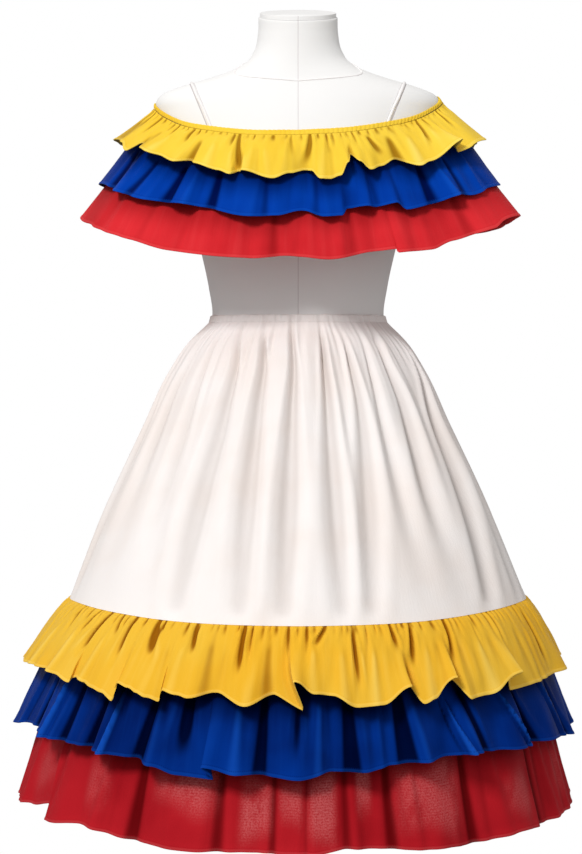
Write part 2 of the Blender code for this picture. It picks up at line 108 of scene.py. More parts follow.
# The height of a seam round the body, the same on both sides
Level = namedtuple("Level", "turn height")
NECKLINE = [
    Level(0, 1.2877), Level(20, 1.2905), Level(40, 1.3000), Level(55, 1.3100),
    Level(72, 1.3280), Level(90, 1.3440), Level(108, 1.3390), Level(140, 1.3210),
    Level(180, 1.3130),
]
# The seam at the foot of the cream panel
RUFFLE_SEAM = [
    Level(0, 0.6300), Level(30, 0.6312), Level(50, 0.6350), Level(68, 0.6370),
    Level(90, 0.6340), Level(112, 0.6370), Level(130, 0.6350), Level(150, 0.6312),
    Level(180, 0.6300),
]
# How much higher the neckline sits at the wearer's left shoulder than at its middle
NECK_TILT = 0.005
# The piped seam round the foot of the neck
NECK_PIPING = [
    Level(0, 1.3690), Level(40, 1.3800), Level(90, 1.4040), Level(135, 1.4000),
    Level(180, 1.3950),
]
# The armhole seam: its middle height, half its height, half its depth and its squareness
ARMHOLE_MIDDLE = 1.285
ARMHOLE_RISE = 0.0893
ARMHOLE_DEPTH = 0.081
ARMHOLE_BEND = 0.9
# Above the ruffles the seam runs straight: how far out it is at the middle, and its lean
ARMHOLE_OUT = 0.117
ARMHOLE_LEAN = 0.405

PanelSection = namedtuple("PanelSection", "drop half_width half_depth swing")
PANEL = [
    PanelSection(0.000, 0.1290, 0.0905, 0.0000),
    PanelSection(0.028, 0.1560, 0.1170, 0.0020),
    PanelSection(0.070, 0.1830, 0.1460, 0.0040),
    PanelSection(0.150, 0.2205, 0.1905, 0.0050),
    PanelSection(0.275, 0.2785, 0.2590, 0.0045),
    PanelSection(0.3997, 0.3290, 0.3170, 0.0000),
]

# A soft trough of the panel: its turn at these drops, how deep it is and half its width in
# millimetres at its widest, and how far down it starts and ends
PANEL_TROUGH_DROPS = (0.00, 0.05, 0.12, 0.22, 0.40)
Trough = namedtuple("Trough", "waist hip upper middle foot depth width start end")
PANEL_TROUGHS = [
    Trough(-84, -82, -80, -79, -78, 8, 9, 0.00, 0.40),
    Trough(-62, -62.2, -62.8, -61, -58, 6, 10, 0.01, 0.30),
    Trough(-49, -47, -46, -45, -44, 6, 8, 0.00, 0.36),
    Trough(-37.4, -30.5, -29.5, -30.5, -30.8, 11, 10, 0.00, 0.40),
    Trough(-21.1, -16.5, -16.0, -15.5, -14.1, 12, 9, 0.00, 0.40),
    Trough(-4.1, -2.2, -2.4, -2.8, -3.8, 13, 9, 0.00, 0.40),
    Trough(13.9, 12.2, 11.8, 11.1, 10.5, 12, 8, 0.00, 0.40),
    Trough(25.9, 24.4, 24.5, 21.9, 17.0, 11, 8, 0.01, 0.40),
    Trough(36.5, 34.5, 33.0, 32.0, 31.0, 6, 7, 0.02, 0.34),
    Trough(48.6, 45.0, 46.0, 43.0, 42.0, 11, 9, 0.00, 0.34),
    Trough(69.0, 69.5, 63.5, 61.5, 53.6, 15, 10, 0.00, 0.40),
    Trough(80, 79, 77, 75, 72, 8, 9, 0.00, 0.40),
]

# reach is +1 at a full crest and -1 at a full trough, lean is how many degrees a fold tips
# sideways by its hem, and fall is how many millimetres lower than usual it ends
Fold = namedtuple("Fold", "turn reach lean fall")
PANEL_FOLDS = [
    Fold(-82, 0.4, 0, 0), Fold(-75, -0.5, 0, 0), Fold(-67, 0.4, 0, 0), Fold(-60, -0.4, 0, 0),
    Fold(-51, 0.5, 0, 0), Fold(-42, -0.3, 0, 0), Fold(-36, 0.5, 0, 0), Fold(-28, -0.6, 0, 0),
    Fold(-21, 0.6, 0, 0), Fold(-14, -0.7, 0, 0), Fold(-8, 0.5, 0, 0), Fold(-3, -0.6, 0, 0),
    Fold(4, 0.7, 0, 0), Fold(10.5, -0.7, 0, 0), Fold(14.5, 0.4, 0, 0), Fold(18, -0.6, 0, 0),
    Fold(27, 0.7, 0, 0), Fold(33, -0.5, 0, 0), Fold(38, 0.4, 0, 0), Fold(44, -0.8, 0, 0),
    Fold(50, 0.6, 0, 0), Fold(57, -0.6, 0, 0), Fold(70, 0.5, 0, 0), Fold(78, -0.5, 0, 0),
]
SKIRT_YELLOW_FOLDS = [
    Fold(-86, 0.5, 0, -3), Fold(-78, 0.5, 0, -6), Fold(-67, 0.75, 0, -12),
    Fold(-61, 0.6, 0, -12), Fold(-55, 0.85, 0, -10), Fold(-50.9, 1.0, 0.8, -2.5),
    Fold(-50.3, 0.4, -0.4, -7), Fold(-49.6, 0.3, 0, -9), Fold(-46.5, 0.6, 0, -5),
    Fold(-43.2, 0.7, 0, -1), Fold(-40, 0.85, 0, 3), Fold(-37.6, 1.0, 0.6, 12),
    Fold(-37.1, 0.45, -0.6, 1), Fold(-36.4, 0.3, -0.5, -10.5), Fold(-34, 0.55, 0, -6.5),
    Fold(-31.7, 0.75, 0, -2), Fold(-29.3, 0.9, 0, 3), Fold(-27.4, 1.0, 0.6, 7.5),
    Fold(-26.9, 0.45, -0.6, 0), Fold(-26.2, 0.3, -0.4, -6), Fold(-23.5, 0.45, 0, -2),
    Fold(-21, 0.5, 0, 1),
    Fold(-15.7, -0.5, 0, -6), Fold(-9.5, 0.9, 0, 7.8), Fold(-4.6, -0.2, 0.6, -5.5),
    Fold(-2.7, 0.25, 4.2, 13), Fold(-1.2, 1.0, 1.0, -25), Fold(4, 0.5, 0, -8),
    Fold(7.2, 0.35, 0, -5), Fold(12, 0.8, 0, 10), Fold(17, 0.7, 0, 8),
    Fold(21.6, 0.85, 0.8, -14), Fold(23.3, -1, 0.3, -12), Fold(25.2, 0.7, 0, 9.5),
    Fold(27.5, 0.6, 0, 4), Fold(32.4, 0.9, 0, -21), Fold(34, -1, 0, -14),
    Fold(36, 0.8, 0, 9.5), Fold(41, 0.7, 0, 7.5), Fold(49.3, 1.0, 0.7, -17),
    Fold(50.3, 0.45, -3.5, -8), Fold(51.6, 0.3, -3.4, 6.8), Fold(58, 0.5, 0, 5),
    Fold(66, -0.1, 0, 4), Fold(75, 0.6, 0, 2.6), Fold(84, -0.5, 0, -3),
]
SKIRT_BLUE_FOLDS = [
    Fold(-84, 0.7, 0, -6), Fold(-70, -0.6, 0, -18), Fold(-56, 0.7, 0, -14),
    Fold(-47, -0.5, 0, -12), Fold(-39, 0.6, 0, -9), Fold(-33.5, -0.6, 0, -7),
    Fold(-28, 0.6, 0, -2), Fold(-23, 0.3, 0, 8), Fold(-18.6, 0.1, 3, 11),
    Fold(-16.6, 1, -0.6, -6), Fold(-11, 0.4, 0, 3), Fold(-6, -0.4, 0, 4),
    Fold(1, 0.8, 0, 8), Fold(7, -0.5, 0, -0.5), Fold(12.5, 0.5, 0, 0.6),
    Fold(19, -0.7, 0, -5), Fold(25, 0.6, 0, -8), Fold(31, -0.7, 0, -10),
    Fold(37, 0.7, 0, -12), Fold(43, -0.5, 0, -9), Fold(49, 0.7, 0, -7),
    Fold(56, -0.6, 0, -6), Fold(64, 0.5, 0, -5), Fold(72, -0.4, 0, 0), Fold(81, 0.7, 0, 8),
]
SKIRT_RED_FOLDS = [
    Fold(-80, 0.6, 0, -6), Fold(-70, 0.2, 0, -14), Fold(-61, -0.3, 3, -29),
    Fold(-58.6, 0.9, 0, -8), Fold(-46, 0.5, 0, -16), Fold(-34, -0.5, 0, -5),
    Fold(-22, 0.8, 0, -3), Fold(-10, -0.5, 0, -3), Fold(3, 0.6, 0, -3),
    Fold(10, 0.0, 0, -8), Fold(14, -0.6, 0, -6), Fold(28, 0.8, 0, -2),
    Fold(39, -0.5, 0, 3), Fold(50, 0.7, 0, -2), Fold(64, -0.6, 0, 5), Fold(77, 0.8, 0, 2),
]
TOP_YELLOW_FOLDS = [
    Fold(-85, -1.3, 0, -8), Fold(-77, -0.3, 0, -9.5), Fold(-69.5, 0.8, 0, -2.5),
    Fold(-66.2, -0.9, 0, -17), Fold(-63.5, 0.7, 0, -12), Fold(-54, 0.6, 0, -10),
    Fold(-46, 0.8, 0, -4.5), Fold(-42, -0.6, 0, -8.5), Fold(-38, 0.5, 0, -6),
    Fold(-29, 0.7, 0, 0), Fold(-24.5, 0.95, 0, 4), Fold(-22.4, -1, 0, -1.5),
    Fold(-20, 0.9, 0, -2.5), Fold(-9.5, 0.8, 0, 7), Fold(-3, -0.3, 0, -1.5),
    Fold(2, -0.9, 0, -6), Fold(4.5, -0.2, 0, -4.5), Fold(7.5, 0.9, 0, 7.5),
    Fold(11, 0.8, 0, 8), Fold(15, 0.5, 0, 3.5), Fold(17.5, 0.4, 0, -14),
    Fold(19.8, -1.4, 0, -26), Fold(21.8, 0.4, 0, -15), Fold(25.5, 0.8, 0, -2),
    Fold(30.5, -0.5, 0, -6), Fold(36.5, -0.8, 0, -13), Fold(44.5, 0.9, 0, 0.5),
    Fold(49.5, 0.7, 0, -3.5), Fold(62.5, 1, 1.5, -23.5), Fold(63.6, 0.4, -1.2, -12),
    Fold(64.8, 0.3, -1, -6), Fold(74, 0.5, 0, -11), Fold(82, -0.2, 0, -10),
]
TOP_BLUE_FOLDS = [
    Fold(-82, -1.0, 0, -3.5), Fold(-62, 0.7, 0, -3.5), Fold(-50, -0.4, 0, -5.5),
    Fold(-41, 0.6, 0, -7.5), Fold(-34, -0.6, 0, -6.5), Fold(-17, 0.9, 0, 1),
    Fold(-8, 0.4, 0, -1.5), Fold(1, -0.7, 0, -9.5), Fold(9, 0.8, 0, 0),
    Fold(14.5, 0.5, 0, -1), Fold(17.5, -0.9, 0, -11), Fold(22.5, 0.2, 0, -12.5),
    Fold(27.5, -0.7, 0, -10), Fold(33.5, 0.7, 0, -12.5), Fold(38, 0.2, 0, -1),
    Fold(49, -0.6, 0, -3.5), Fold(58, 0.6, 0, -9.5), Fold(67.5, 0.0, 0, -1.5),
    Fold(78, -0.6, 0, -3.5),
]
TOP_RED_FOLDS = [
    Fold(-85, -1.0, 0, -5), Fold(-74, -0.3, 0, -4), Fold(-58, 0.6, 0, -5),
    Fold(-45, -0.5, 0, 0.5),
    Fold(-29, 0.8, 0, 0), Fold(-16, 0.4, 0, -1), Fold(-4, -0.5, 0, -6), Fold(10, 0.8, 0, 0),
    Fold(25, -0.7, 0, -8), Fold(30.5, 0.4, 1.5, -8), Fold(33, 0.8, -0.6, -2.5),
    Fold(45, 0, 0, -0.5), Fold(54, -0.6, 0, -7), Fold(68, 0.5, 0, -10), Fold(82, 0.2, 0, -18),
]

# A crease of a ruffle: its turn at its start and end, the shares it runs
# between, and its depth and half width in millimetres. A depth below 0 is a ridge
Crease = namedtuple("Crease", "turn end_turn start end depth width")
SKIRT_YELLOW_CREASES = [
    Crease(-62.2, -63.5, 0.0, 0.16, 5, 4), Crease(-53.9, -56.3, 0.0, 0.34, 6, 4),
    Crease(-49.5, -52.3, 0.0, 0.60, 9, 5), Crease(-44.9, -44.2, 0.0, 0.28, 5, 4),
    Crease(-40.7, -40.8, 0.0, 0.62, 7, 4), Crease(-33.5, -32.5, 0.0, 0.52, 9, 6),
    Crease(-31.9, -31.5, 0.0, 0.14, 4, 3), Crease(-23.3, -22.7, 0.0, 0.42, 7, 4),
    Crease(-12.2, -11.8, 0.0, 0.66, 8, 4), Crease(6.0, 3.6, 0.0, 0.28, 6, 4),
    Crease(11.9, 12.7, 0.0, 0.90, 7, 4), Crease(21.0, 21.7, 0.0, 0.45, 5, 4),
    Crease(26.0, 24.6, 0.0, 0.60, 7, 4), Crease(35.5, 34.6, 0.0, 0.70, 6, 4),
    Crease(50.4, 51.0, 0.0, 0.40, 6, 4), Crease(66.0, 68.6, 0.0, 0.90, 6, 5),
    Crease(74.0, 76.0, 0.0, 0.50, 5, 4),
    Crease(-73.0, -75.0, 0.2, 1.0, 2.5, 7.5), Crease(-67.0, -69.0, 0.2, 1.0, -2.4, 6.2),
    Crease(-57.0, -58.5, 0.2, 1.0, -2.4, 6.2), Crease(-46.0, -48.0, 0.2, 1.0, -2.4, 5),
    Crease(-28.4, -28.0, 0.2, 1.0, 3, 7.5), Crease(-24.8, -24.8, 0.2, 1.0, -2.4, 6.2),
    Crease(-18.6, -18.6, 0.1, 1.0, 2.5, 7.5), Crease(-14.0, -13.6, 0.2, 1.0, -2.4, 6.2),
    Crease(-6.0, -6.3, 0.1, 1.0, 3, 7.5), Crease(3.0, 3.4, 0.2, 1.0, -2.4, 6.2),
    Crease(9.0, 9.2, 0.2, 1.0, -2.4, 6.2), Crease(15.8, 15.6, 0.2, 1.0, -2.4, 5),
    Crease(20.0, 20.6, 0.2, 1.0, 2.5, 7.5), Crease(28.0, 27.0, 0.2, 1.0, -2.4, 6.2),
    Crease(31.0, 30.6, 0.2, 1.0, 3, 6.2), Crease(37.0, 37.6, 0.2, 1.0, 3, 7.5),
    Crease(42.0, 42.5, 0.2, 1.0, -2.4, 6.2), Crease(46.0, 46.6, 0.2, 1.0, 3, 7.5),
    Crease(57.0, 58.0, 0.2, 1.0, 2.5, 7.5), Crease(62.0, 63.5, 0.2, 1.0, -2.4, 6.2),
    Crease(80.0, 81.5, 0.1, 1.0, 3, 7), Crease(86.0, 87.0, 0.2, 1.0, -3, 6),
    Crease(-84.0, -86.0, 0.1, 1.0, 3, 7),
]
SKIRT_BLUE_CREASES = [
    Crease(-88.0, -91.0, 0.40, 1.0, -1.5, 5), Crease(-81.0, -85.0, 0.38, 1.0, 4, 6),
    Crease(-70.0, -76.0, 0.35, 1.0, -6, 5), Crease(-62.0, -66.0, 0.38, 1.0, 7, 7),
    Crease(-56.0, -58.5, 0.45, 1.0, -8, 4), Crease(-51.0, -53.0, 0.38, 1.0, 6, 7),
    Crease(-42.0, -45.0, 0.38, 1.0, 8, 7), Crease(-37.5, -40.0, 0.45, 1.0, -8, 4),
    Crease(-29.5, -32.0, 0.38, 1.0, 8, 8), Crease(-22.5, -23.0, 0.33, 0.90, 9, 9),
    Crease(-11.5, -11.5, 0.40, 1.0, -4, 7), Crease(-6.6, -6.9, 0.38, 1.0, 6, 7),
    Crease(0.4, 0.0, 0.38, 0.95, 6, 6), Crease(4.6, 4.6, 0.40, 1.0, -5, 7),
    Crease(10.3, 11.0, 0.36, 1.0, 8, 9), Crease(16.4, 16.8, 0.40, 1.0, -5, 6),
    Crease(21.0, 22.3, 0.36, 1.0, 9, 9), Crease(31.0, 35.6, 0.50, 1.0, -8, 3.5),
    Crease(35.0, 40.0, 0.42, 1.0, 7, 7), Crease(45.5, 53.5, 0.50, 1.0, -8, 3.5),
    Crease(50.0, 58.0, 0.42, 1.0, 7, 7), Crease(62.0, 72.0, 0.45, 1.0, -6, 4),
    Crease(68.0, 78.0, 0.42, 1.0, 5, 6), Crease(82.0, 86.5, 0.38, 1.0, 4, 6),
]
SKIRT_RED_CREASES = [
    Crease(-72.0, -74.0, 0.5, 1.0, -4, 9), Crease(-56.0, -59.0, 0.5, 1.0, 3.3, 9),
    Crease(-40.0, -43.0, 0.5, 1.0, -4, 8), Crease(-33.0, -34.5, 0.5, 1.0, 3.9, 8),
    Crease(-15.5, -15.5, 0.5, 1.0, 3.9, 8), Crease(-4.4, -4.4, 0.5, 1.0, 3.3, 5),
    Crease(2.0, 2.0, 0.5, 1.0, 3.3, 4), Crease(9.6, 10.0, 0.5, 1.0, 3.3, 6),
    Crease(18.4, 19.2, 0.5, 1.0, 3.9, 7), Crease(23.0, 24.0, 0.5, 1.0, -3.2, 6),
    Crease(37.0, 38.5, 0.5, 1.0, 3.9, 8), Crease(44.0, 46.0, 0.5, 1.0, -4, 9),
    Crease(60.0, 62.0, 0.5, 1.0, 3.3, 8), Crease(66.0, 69.0, 0.5, 1.0, -4, 9),
    Crease(73.0, 75.0, 0.5, 1.0, 3, 7), Crease(81.0, 83.0, 0.5, 1.0, -3, 7),
    Crease(-80.0, -82.0, 0.5, 1.0, 3, 7), Crease(-88.0, -89.0, 0.5, 1.0, -3, 7),
]
TOP_YELLOW_CREASES = [
    Crease(-25.1, -22.4, 0.0, 0.95, 7, 4), Crease(5.0, 3.0, 0.0, 0.80, 5, 4),
    Crease(28.0, 32.0, 0.1, 0.70, 5, 4), Crease(56.0, 54.0, 0.0, 0.80, 6, 4),
    Crease(-49.0, -48.0, 0.0, 0.50, 5, 4), Crease(-72.0, -73.0, 0.0, 0.60, 4, 4),
    Crease(72.0, 73.0, 0.0, 0.60, 4, 4),
    Crease(-63.0, -64.0, 0.2, 1.0, 3, 5.8), Crease(-57.0, -58.0, 0.2, 1.0, -2.4, 5.8),
    Crease(-41.0, -41.5, 0.2, 1.0, 3, 5.8), Crease(-34.0, -34.0, 0.2, 1.0, -2.4, 5.8),
    Crease(-16.0, -15.0, 0.2, 1.0, 3, 5.8), Crease(-5.0, -5.5, 0.2, 1.0, -2.4, 5.8),
    Crease(12.0, 12.0, 0.2, 1.0, 3, 5.8), Crease(37.0, 38.5, 0.2, 1.0, 3, 5.8),
    Crease(45.0, 45.0, 0.2, 1.0, -2.4, 5.8), Crease(64.0, 65.0, 0.2, 1.0, 3, 5.8),
]
TOP_BLUE_CREASES = [
    Crease(-74.0, -76.0, 0.4, 1.0, 3.8, 6), Crease(-68.0, -70.5, 0.4, 1.0, -3.6, 6),
    Crease(-59.0, -64.0, 0.4, 1.0, 5.2, 7), Crease(-52.0, -56.0, 0.4, 1.0, -3.6, 5),
    Crease(-44.5, -48.5, 0.4, 1.0, 5.2, 7), Crease(-38.0, -40.0, 0.4, 1.0, -3.6, 5),
    Crease(-30.0, -31.0, 0.4, 1.0, 3.8, 6), Crease(-12.0, -12.0, 0.4, 1.0, 3.8, 6),
    Crease(0.0, 0.0, 0.4, 1.0, -2.7, 6), Crease(6.5, 6.5, 0.4, 1.0, 3, 5),
    Crease(24.0, 24.5, 0.4, 1.0, -3.6, 5), Crease(34.0, 35.0, 0.4, 1.0, 3, 6),
    Crease(48.0, 49.5, 0.4, 1.0, 3.8, 6), Crease(54.0, 57.0, 0.4, 1.0, -4.5, 4),
    Crease(60.0, 62.0, 0.4, 1.0, 4.5, 6), Crease(70.0, 72.0, 0.4, 1.0, -3.6, 6),
]
TOP_RED_CREASES = [
    Crease(-68.0, -69.0, 0.5, 1.0, -2.8, 8), Crease(-54.0, -56.0, 0.5, 1.0, 2.5, 7),
    Crease(-36.0, -37.0, 0.5, 1.0, -2.8, 7), Crease(-28.0, -28.5, 0.5, 1.0, 2.5, 6),
    Crease(-20.0, -20.0, 0.5, 1.0, -2.1, 6), Crease(-9.0, -9.0, 0.5, 1.0, 2.5, 6),
    Crease(4.0, 3.0, 0.5, 1.0, -2.8, 6), Crease(11.0, 11.0, 0.5, 1.0, 2, 6),
    Crease(18.0, 18.0, 0.5, 1.0, 2, 6), Crease(31.0, 32.0, 0.5, 1.0, 2.5, 6),
    Crease(43.0, 44.0, 0.5, 1.0, -2.8, 7), Crease(60.0, 61.0, 0.5, 1.0, 2.5, 7),
]

# Where light comes through the skirt's sheer red ruffle: turn, half width in degrees, the shares
# between which it is light, and how light
Patch = namedtuple("Patch", "turn half_width start end strength")
SHEER_PATCHES = [
    Patch(-66, 5.0, 0.74, 0.92, 0.5), Patch(-44, 3.0, 0.72, 0.90, 0.45),
    Patch(-23, 6.2, 0.66, 0.84, 0.85), Patch(-8, 2.9, 0.68, 0.97, 1.0),
    Patch(-1, 2.1, 0.68, 0.90, 0.9), Patch(5.2, 2.5, 0.66, 0.98, 1.0),
    Patch(13.8, 1.5, 0.64, 0.84, 0.8), Patch(28, 6.6, 0.64, 0.94, 0.8),
    Patch(52, 4.6, 0.76, 0.93, 0.7), Patch(76, 4.0, 0.74, 0.90, 0.5),
]

# A ruffle's hem, measured from its seam ring: how far out and down at the sides, the front
# and the back, its wave, the bend of its way down, the layers that cover it, its columns
# and rows, and its fine gathers: how many millimetres apart, how deep and the seed
Ruffle = namedtuple(
    "Ruffle",
    "name folds creases side_out side_drop front_out front_drop back_out back_drop"
    " swing flare depth columns rows apart gather seed",
)
SKIRT_RUFFLES = [
    Ruffle("skirt_ruffle_red", SKIRT_RED_FOLDS, SKIRT_RED_CREASES,
           0.065, 0.286, 0.061, 0.287, 0.061, 0.287, 0.0130, 1.20, 2, 760, 40, 17, 3.0, 11),
    Ruffle("skirt_ruffle_blue", SKIRT_BLUE_FOLDS, SKIRT_BLUE_CREASES,
           0.068, 0.178, 0.064, 0.179, 0.064, 0.179, 0.0120, 1.00, 1, 900, 32, 15, 3.0, 12),
    Ruffle("skirt_ruffle_yellow", SKIRT_YELLOW_FOLDS, SKIRT_YELLOW_CREASES,
           0.055, 0.086, 0.050, 0.087, 0.050, 0.087, 0.0150, 0.75, 0, 1320, 30, 11, 4.6, 13),
]
TOP_RUFFLES = [
    Ruffle("top_ruffle_red", TOP_RED_FOLDS, TOP_RED_CREASES,
           0.112, 0.175, 0.070, 0.177, 0.062, 0.170, 0.0110, 1.10, 2, 680, 30, 15, 2.4, 21),
    Ruffle("top_ruffle_blue", TOP_BLUE_FOLDS, TOP_BLUE_CREASES,
           0.088, 0.117, 0.055, 0.118, 0.050, 0.112, 0.0105, 0.92, 1, 740, 26, 13, 2.4, 22),
    Ruffle("top_ruffle_yellow", TOP_YELLOW_FOLDS, TOP_YELLOW_CREASES,
           0.064, 0.058, 0.039, 0.058, 0.035, 0.053, 0.0110, 0.70, 0, 1040, 28, 9.5, 4.6, 23),
]

# The cloth each ruffle is made of
# The skirt's yellow, blue and red are darker than the top's, as painted shade; its red is sheer
# too
RUFFLE_CLOTHS = {
    "skirt_ruffle_yellow": "golden", "skirt_ruffle_blue": "navy", "skirt_ruffle_red": "sheer",
    "top_ruffle_yellow": "yellow", "top_ruffle_blue": "blue", "top_ruffle_red": "red",
}

# How a cloth takes the light: the slot of its solid, its roughness and sheen, and how strongly
# it is painted with shade in its hollows, a highlight on its crests and shadow in the band under
# another ruffle
ClothLook = namedtuple("ClothLook", "slot rough sheen hollow crest under")
CLOTH_LOOKS = {
    "yellow": ClothLook("yellow_crepe", 0.52, 0.02, 0.85, 0.65, 0.0),
    "golden": ClothLook("yellow_crepe", 0.52, 0.02, 0.92, 0.60, 0.0),
    "blue": ClothLook("blue_crepe", 0.48, 0.0, 0.90, 0.50, 0.75),
    "navy": ClothLook("blue_crepe", 0.48, 0.0, 0.90, 0.95, 0.90),
    "red": ClothLook("red_crepe", 0.54, 0.0, 0.60, 0.40, 0.45),
    "sheer": ClothLook("red_crepe", 0.56, 0.0, 0.75, 0.0, 0.60),
    "cream": ClothLook("cream_crepe", 0.58, 0.05, 0.26, 0.20, 0.0),
}

# How the layers are kept apart
LAYER_CLEARANCE = 0.0042
SOFTNESS = 0.0030
LEAST_SOFTNESS = 0.0001
CLEAR_BY_SHARE = 0.25
# A wave's quick start at the seam, and its slower growth to the hem
SEAM_WAVE = 0.22
SEAM_WAVE_SHARE = 0.06
WAVE_GROWTH = 1.25
FALL_GROWTH = 1.4
# A fold is soft at the seam, over these degrees, and sharpens between these shares
SOFTEN_OVER = 2.2
SOFTEN_FAR = 7.0
SOFTEN_STEP = 0.25
SHARPENS = (0.25, 0.85)
# How far down the cloth is pulled in by its seam
SEAM_PULL_SHARE = 0.15
# How far in the seam pulls the yellow, blue and red ruffles
TOP_SEAM_PULL = (0.0038, 0.0026, 0.0012)
SKIRT_SEAM_PULL = (0.0, 0.0, 0.0)
# How straight the top's ruffles leave their seam at the shoulders
TOP_SIDE_FLARE = 1.05
SIDE_SEAM_DEPTH = 0.0010
SIDE_SEAM_WIDTH = 0.35
PANEL_SIDE_SEAM_WIDTH = 0.3
# The top's hem folds are shallower than the skirt's
TOP_HEM_WAVE = 0.7

# The cloth's own thickness, and that of its narrow rolled hem, which is thick over a part of
# its width, with its rows
CLOTH = 0.0006
HEM_CLOTH = 0.0015
HEM_WIDTH = 0.004
HEM_ROLL = 0.8
HEM_EDGE = 0.6
HEM_ROWS = (0.75, 0.25, 0.0)
ROW_CROWDING = 1.15

# A trough's two low shoulders, in half widths of the trough
SHOULDER_PLACE = 1.7
SHOULDER_HEIGHT = 0.30
SHOULDER_SPREAD = 0.6

# Fine gathers: how unevenly they stand, their sideways drift in degrees, the least and
# greatest width in millimetres, length as a share and strength. Some run further down
GATHER_SCATTER = 0.38
GATHER_DRIFT = 0.5
GATHER_WIDTHS = (0.7, 1.5)
GATHER_LENGTHS = (0.12, 0.34)
GATHER_STRENGTHS = (0.45, 1.2)
LONG_GATHERS = 0.22
LONG_GATHERS_EXTRA = (0.25, 0.55)
GATHER_SPREAD = 1.7
GATHER_WIDENING = 1.6
GATHER_AT_SEAM = 0.65
GATHER_FULL_BY = 0.05
# How far sideways a gather is felt, in half widths and in degrees more
GATHER_FAR = 6
GATHER_FAR_MORE = 1.5

# How a crease grows, how deep it is at a seam, and how it fades before the hem
CREASE_EARLY = 0.02
CREASE_GROWTH = 0.3
CREASE_AT_SEAM = 0.6
CREASE_FADE = 0.45
CREASE_FADE_PAST = 0.1
CREASE_SPREAD = 0.6

# Small folds at the hem: millimetres apart, how unevenly they stand, and their least and
# greatest width, length as a share and strength
HEM_FOLD_APART = 34
HEM_FOLD_SCATTER = 0.45
HEM_FOLD_WIDTHS = (0.8, 1.6)
HEM_FOLD_LENGTHS = (0.25, 0.7)
HEM_FOLD_STRENGTHS = (0.3, 1.0)
HEM_FOLD_SPREAD = 9
HEM_FOLD_FAR = 4
HEM_FOLD_SEED = 100

# A cloth with no hem of its own counts as this far above one, for the shaders
NO_HEM_NEAR = 0.02

# Painted shade in the folds' hollows and painted highlight on their ridges: how deep a trough is
# where its painted shade is darkest, how high a ridge where its painted highlight is palest, how
# much of the painted shade comes from the large waves, and the share by which all of that is
# there
DARK_TROUGH = 0.0048
PALE_RIDGE = 0.009
WAVE_SHADE = 0.45
WAVE_SHADE_BY = 0.5

# The soft edges of the light that comes through the sheer cloth, and its bent outline
PATCH_BEND = 0.03
PATCH_BENDS = 23
PATCH_BEND_SHIFT = 40
PATCH_TOP = (0.05, 0.06)
PATCH_FOOT = (0.10, 0.03)
PATCH_SIDES = (0.55, 1.4)
LIGHT_BEHIND = 0.6

# The panel's grid, and how its troughs grow below the waist and fade above the foot
PANEL_COLUMNS = 660
PANEL_ROWS = 56
PANEL_CROWDING = 1.12
PANEL_TURN_IN = 0.00045
PANEL_FOOT = 0.020
TROUGH_EARLY = 0.004
TROUGH_GROWTH = 0.05
TROUGH_AT_WAIST = 0.20
TROUGH_FADE = 0.16
TROUGH_FADE_AT_FOOT = 0.45
TROUGH_DEPTH = 0.88
TROUGH_WIDTH_AT_WAIST = 0.35
TROUGH_WIDENING = 1.35
TROUGH_WIDE_BY = 0.30

# The panel's fine gathers: their lengths in metres with the chance of each, their depth in
# millimetres and width in metres
PANEL_GATHERS = 88
PANEL_GATHER_SEED = 31
PANEL_GATHER_SCATTER = 0.36
PANEL_GATHER_LENGTHS = (0.03, 0.06, 0.10, 0.17, 0.26)
PANEL_GATHER_CHANCES = (0.25, 0.28, 0.22, 0.15, 0.10)
PANEL_GATHER_STRETCH = (0.8, 1.25)
PANEL_GATHER_DEPTHS = (0.8, 2.2)
PANEL_GATHER_WIDTHS = (0.0020, 0.0036)
# Its sideways drift in degrees and the drop by which it has drifted, how it widens further
# down, how deep a short one is and how much deeper a long one, and how it grows and fades
PANEL_GATHER_DRIFT = 1.2
PANEL_GATHER_DRIFT_BY = 0.2
PANEL_GATHER_WIDENING = 10
PANEL_GATHER_SHORT = 0.9
PANEL_GATHER_LONG = 2.5
PANEL_GATHER_AT_WAIST = 0.5
PANEL_GATHER_FULL_BY = 0.02
PANEL_GATHER_FADE = 0.2

# The neckline casing from its top edge down: a level as a share of its height, and how far
# out it stands
CasingRow = namedtuple("CasingRow", "level out")
NECK_CASING_ROWS = [
    CasingRow(1.0, 0.0013), CasingRow(0.93, 0.0019), CasingRow(0.75, 0.0023),
    CasingRow(0.5, 0.0025), CasingRow(0.25, 0.0028), CasingRow(0.06, 0.0031),
    CasingRow(0.0, 0.0026),
]
# How far the ribs lift the casing's edge, and the level above which they do
NECK_RIB_LIFT = 0.0004
NECK_LIFT_LEVEL = 0.9
RIB_COLUMNS = 8
# The waist casing from its top edge down, how far out it stands, how it widens to the panel
# and how much of the panel's gathers its top edge has lost
WAIST_CASING_LEVELS = (1.0, 0.94, 0.8, 0.6, 0.4, 0.2, 0.0)
WAIST_CASING_COLUMNS = 1400
WAIST_CASING_OUT = 0.0024
WAIST_EDGE_IN = 0.0010
WAIST_EDGE_LEVEL = 0.97
WAIST_SPREAD = 1.3
WAIST_GATHERS_LOST = 0.45
# The tufts of its ragged top edge: their height, how many for each rib, the clumps they
# stand in, their middle and the levels between which they grow
WAIST_TUFT = 0.0016
TUFTS_TO_A_RIB = 0.43
TUFT_CLUMPS = 19
TUFT_MIDDLE = 0.3
TUFT_LEVELS = (0.55, 1.0)
# The order of each bend in the ribs' spacing, their least and greatest size and how far they
# move the ribs. The ribs' strength goes up and down in two waves, and their crests are broad
RIB_BENDS = (7, 13, 23, 37)
RIB_BEND_SIZES = (0.2, 0.9)
RIB_BEND = 1.5
RIB_UNEVEN = 0.25
RIB_WAVES = (29, 17)
RIB_BREADTH = 0.45
CASING_INSIDE = 0.0005
CASING_SHARP_EDGE = math.radians(80)

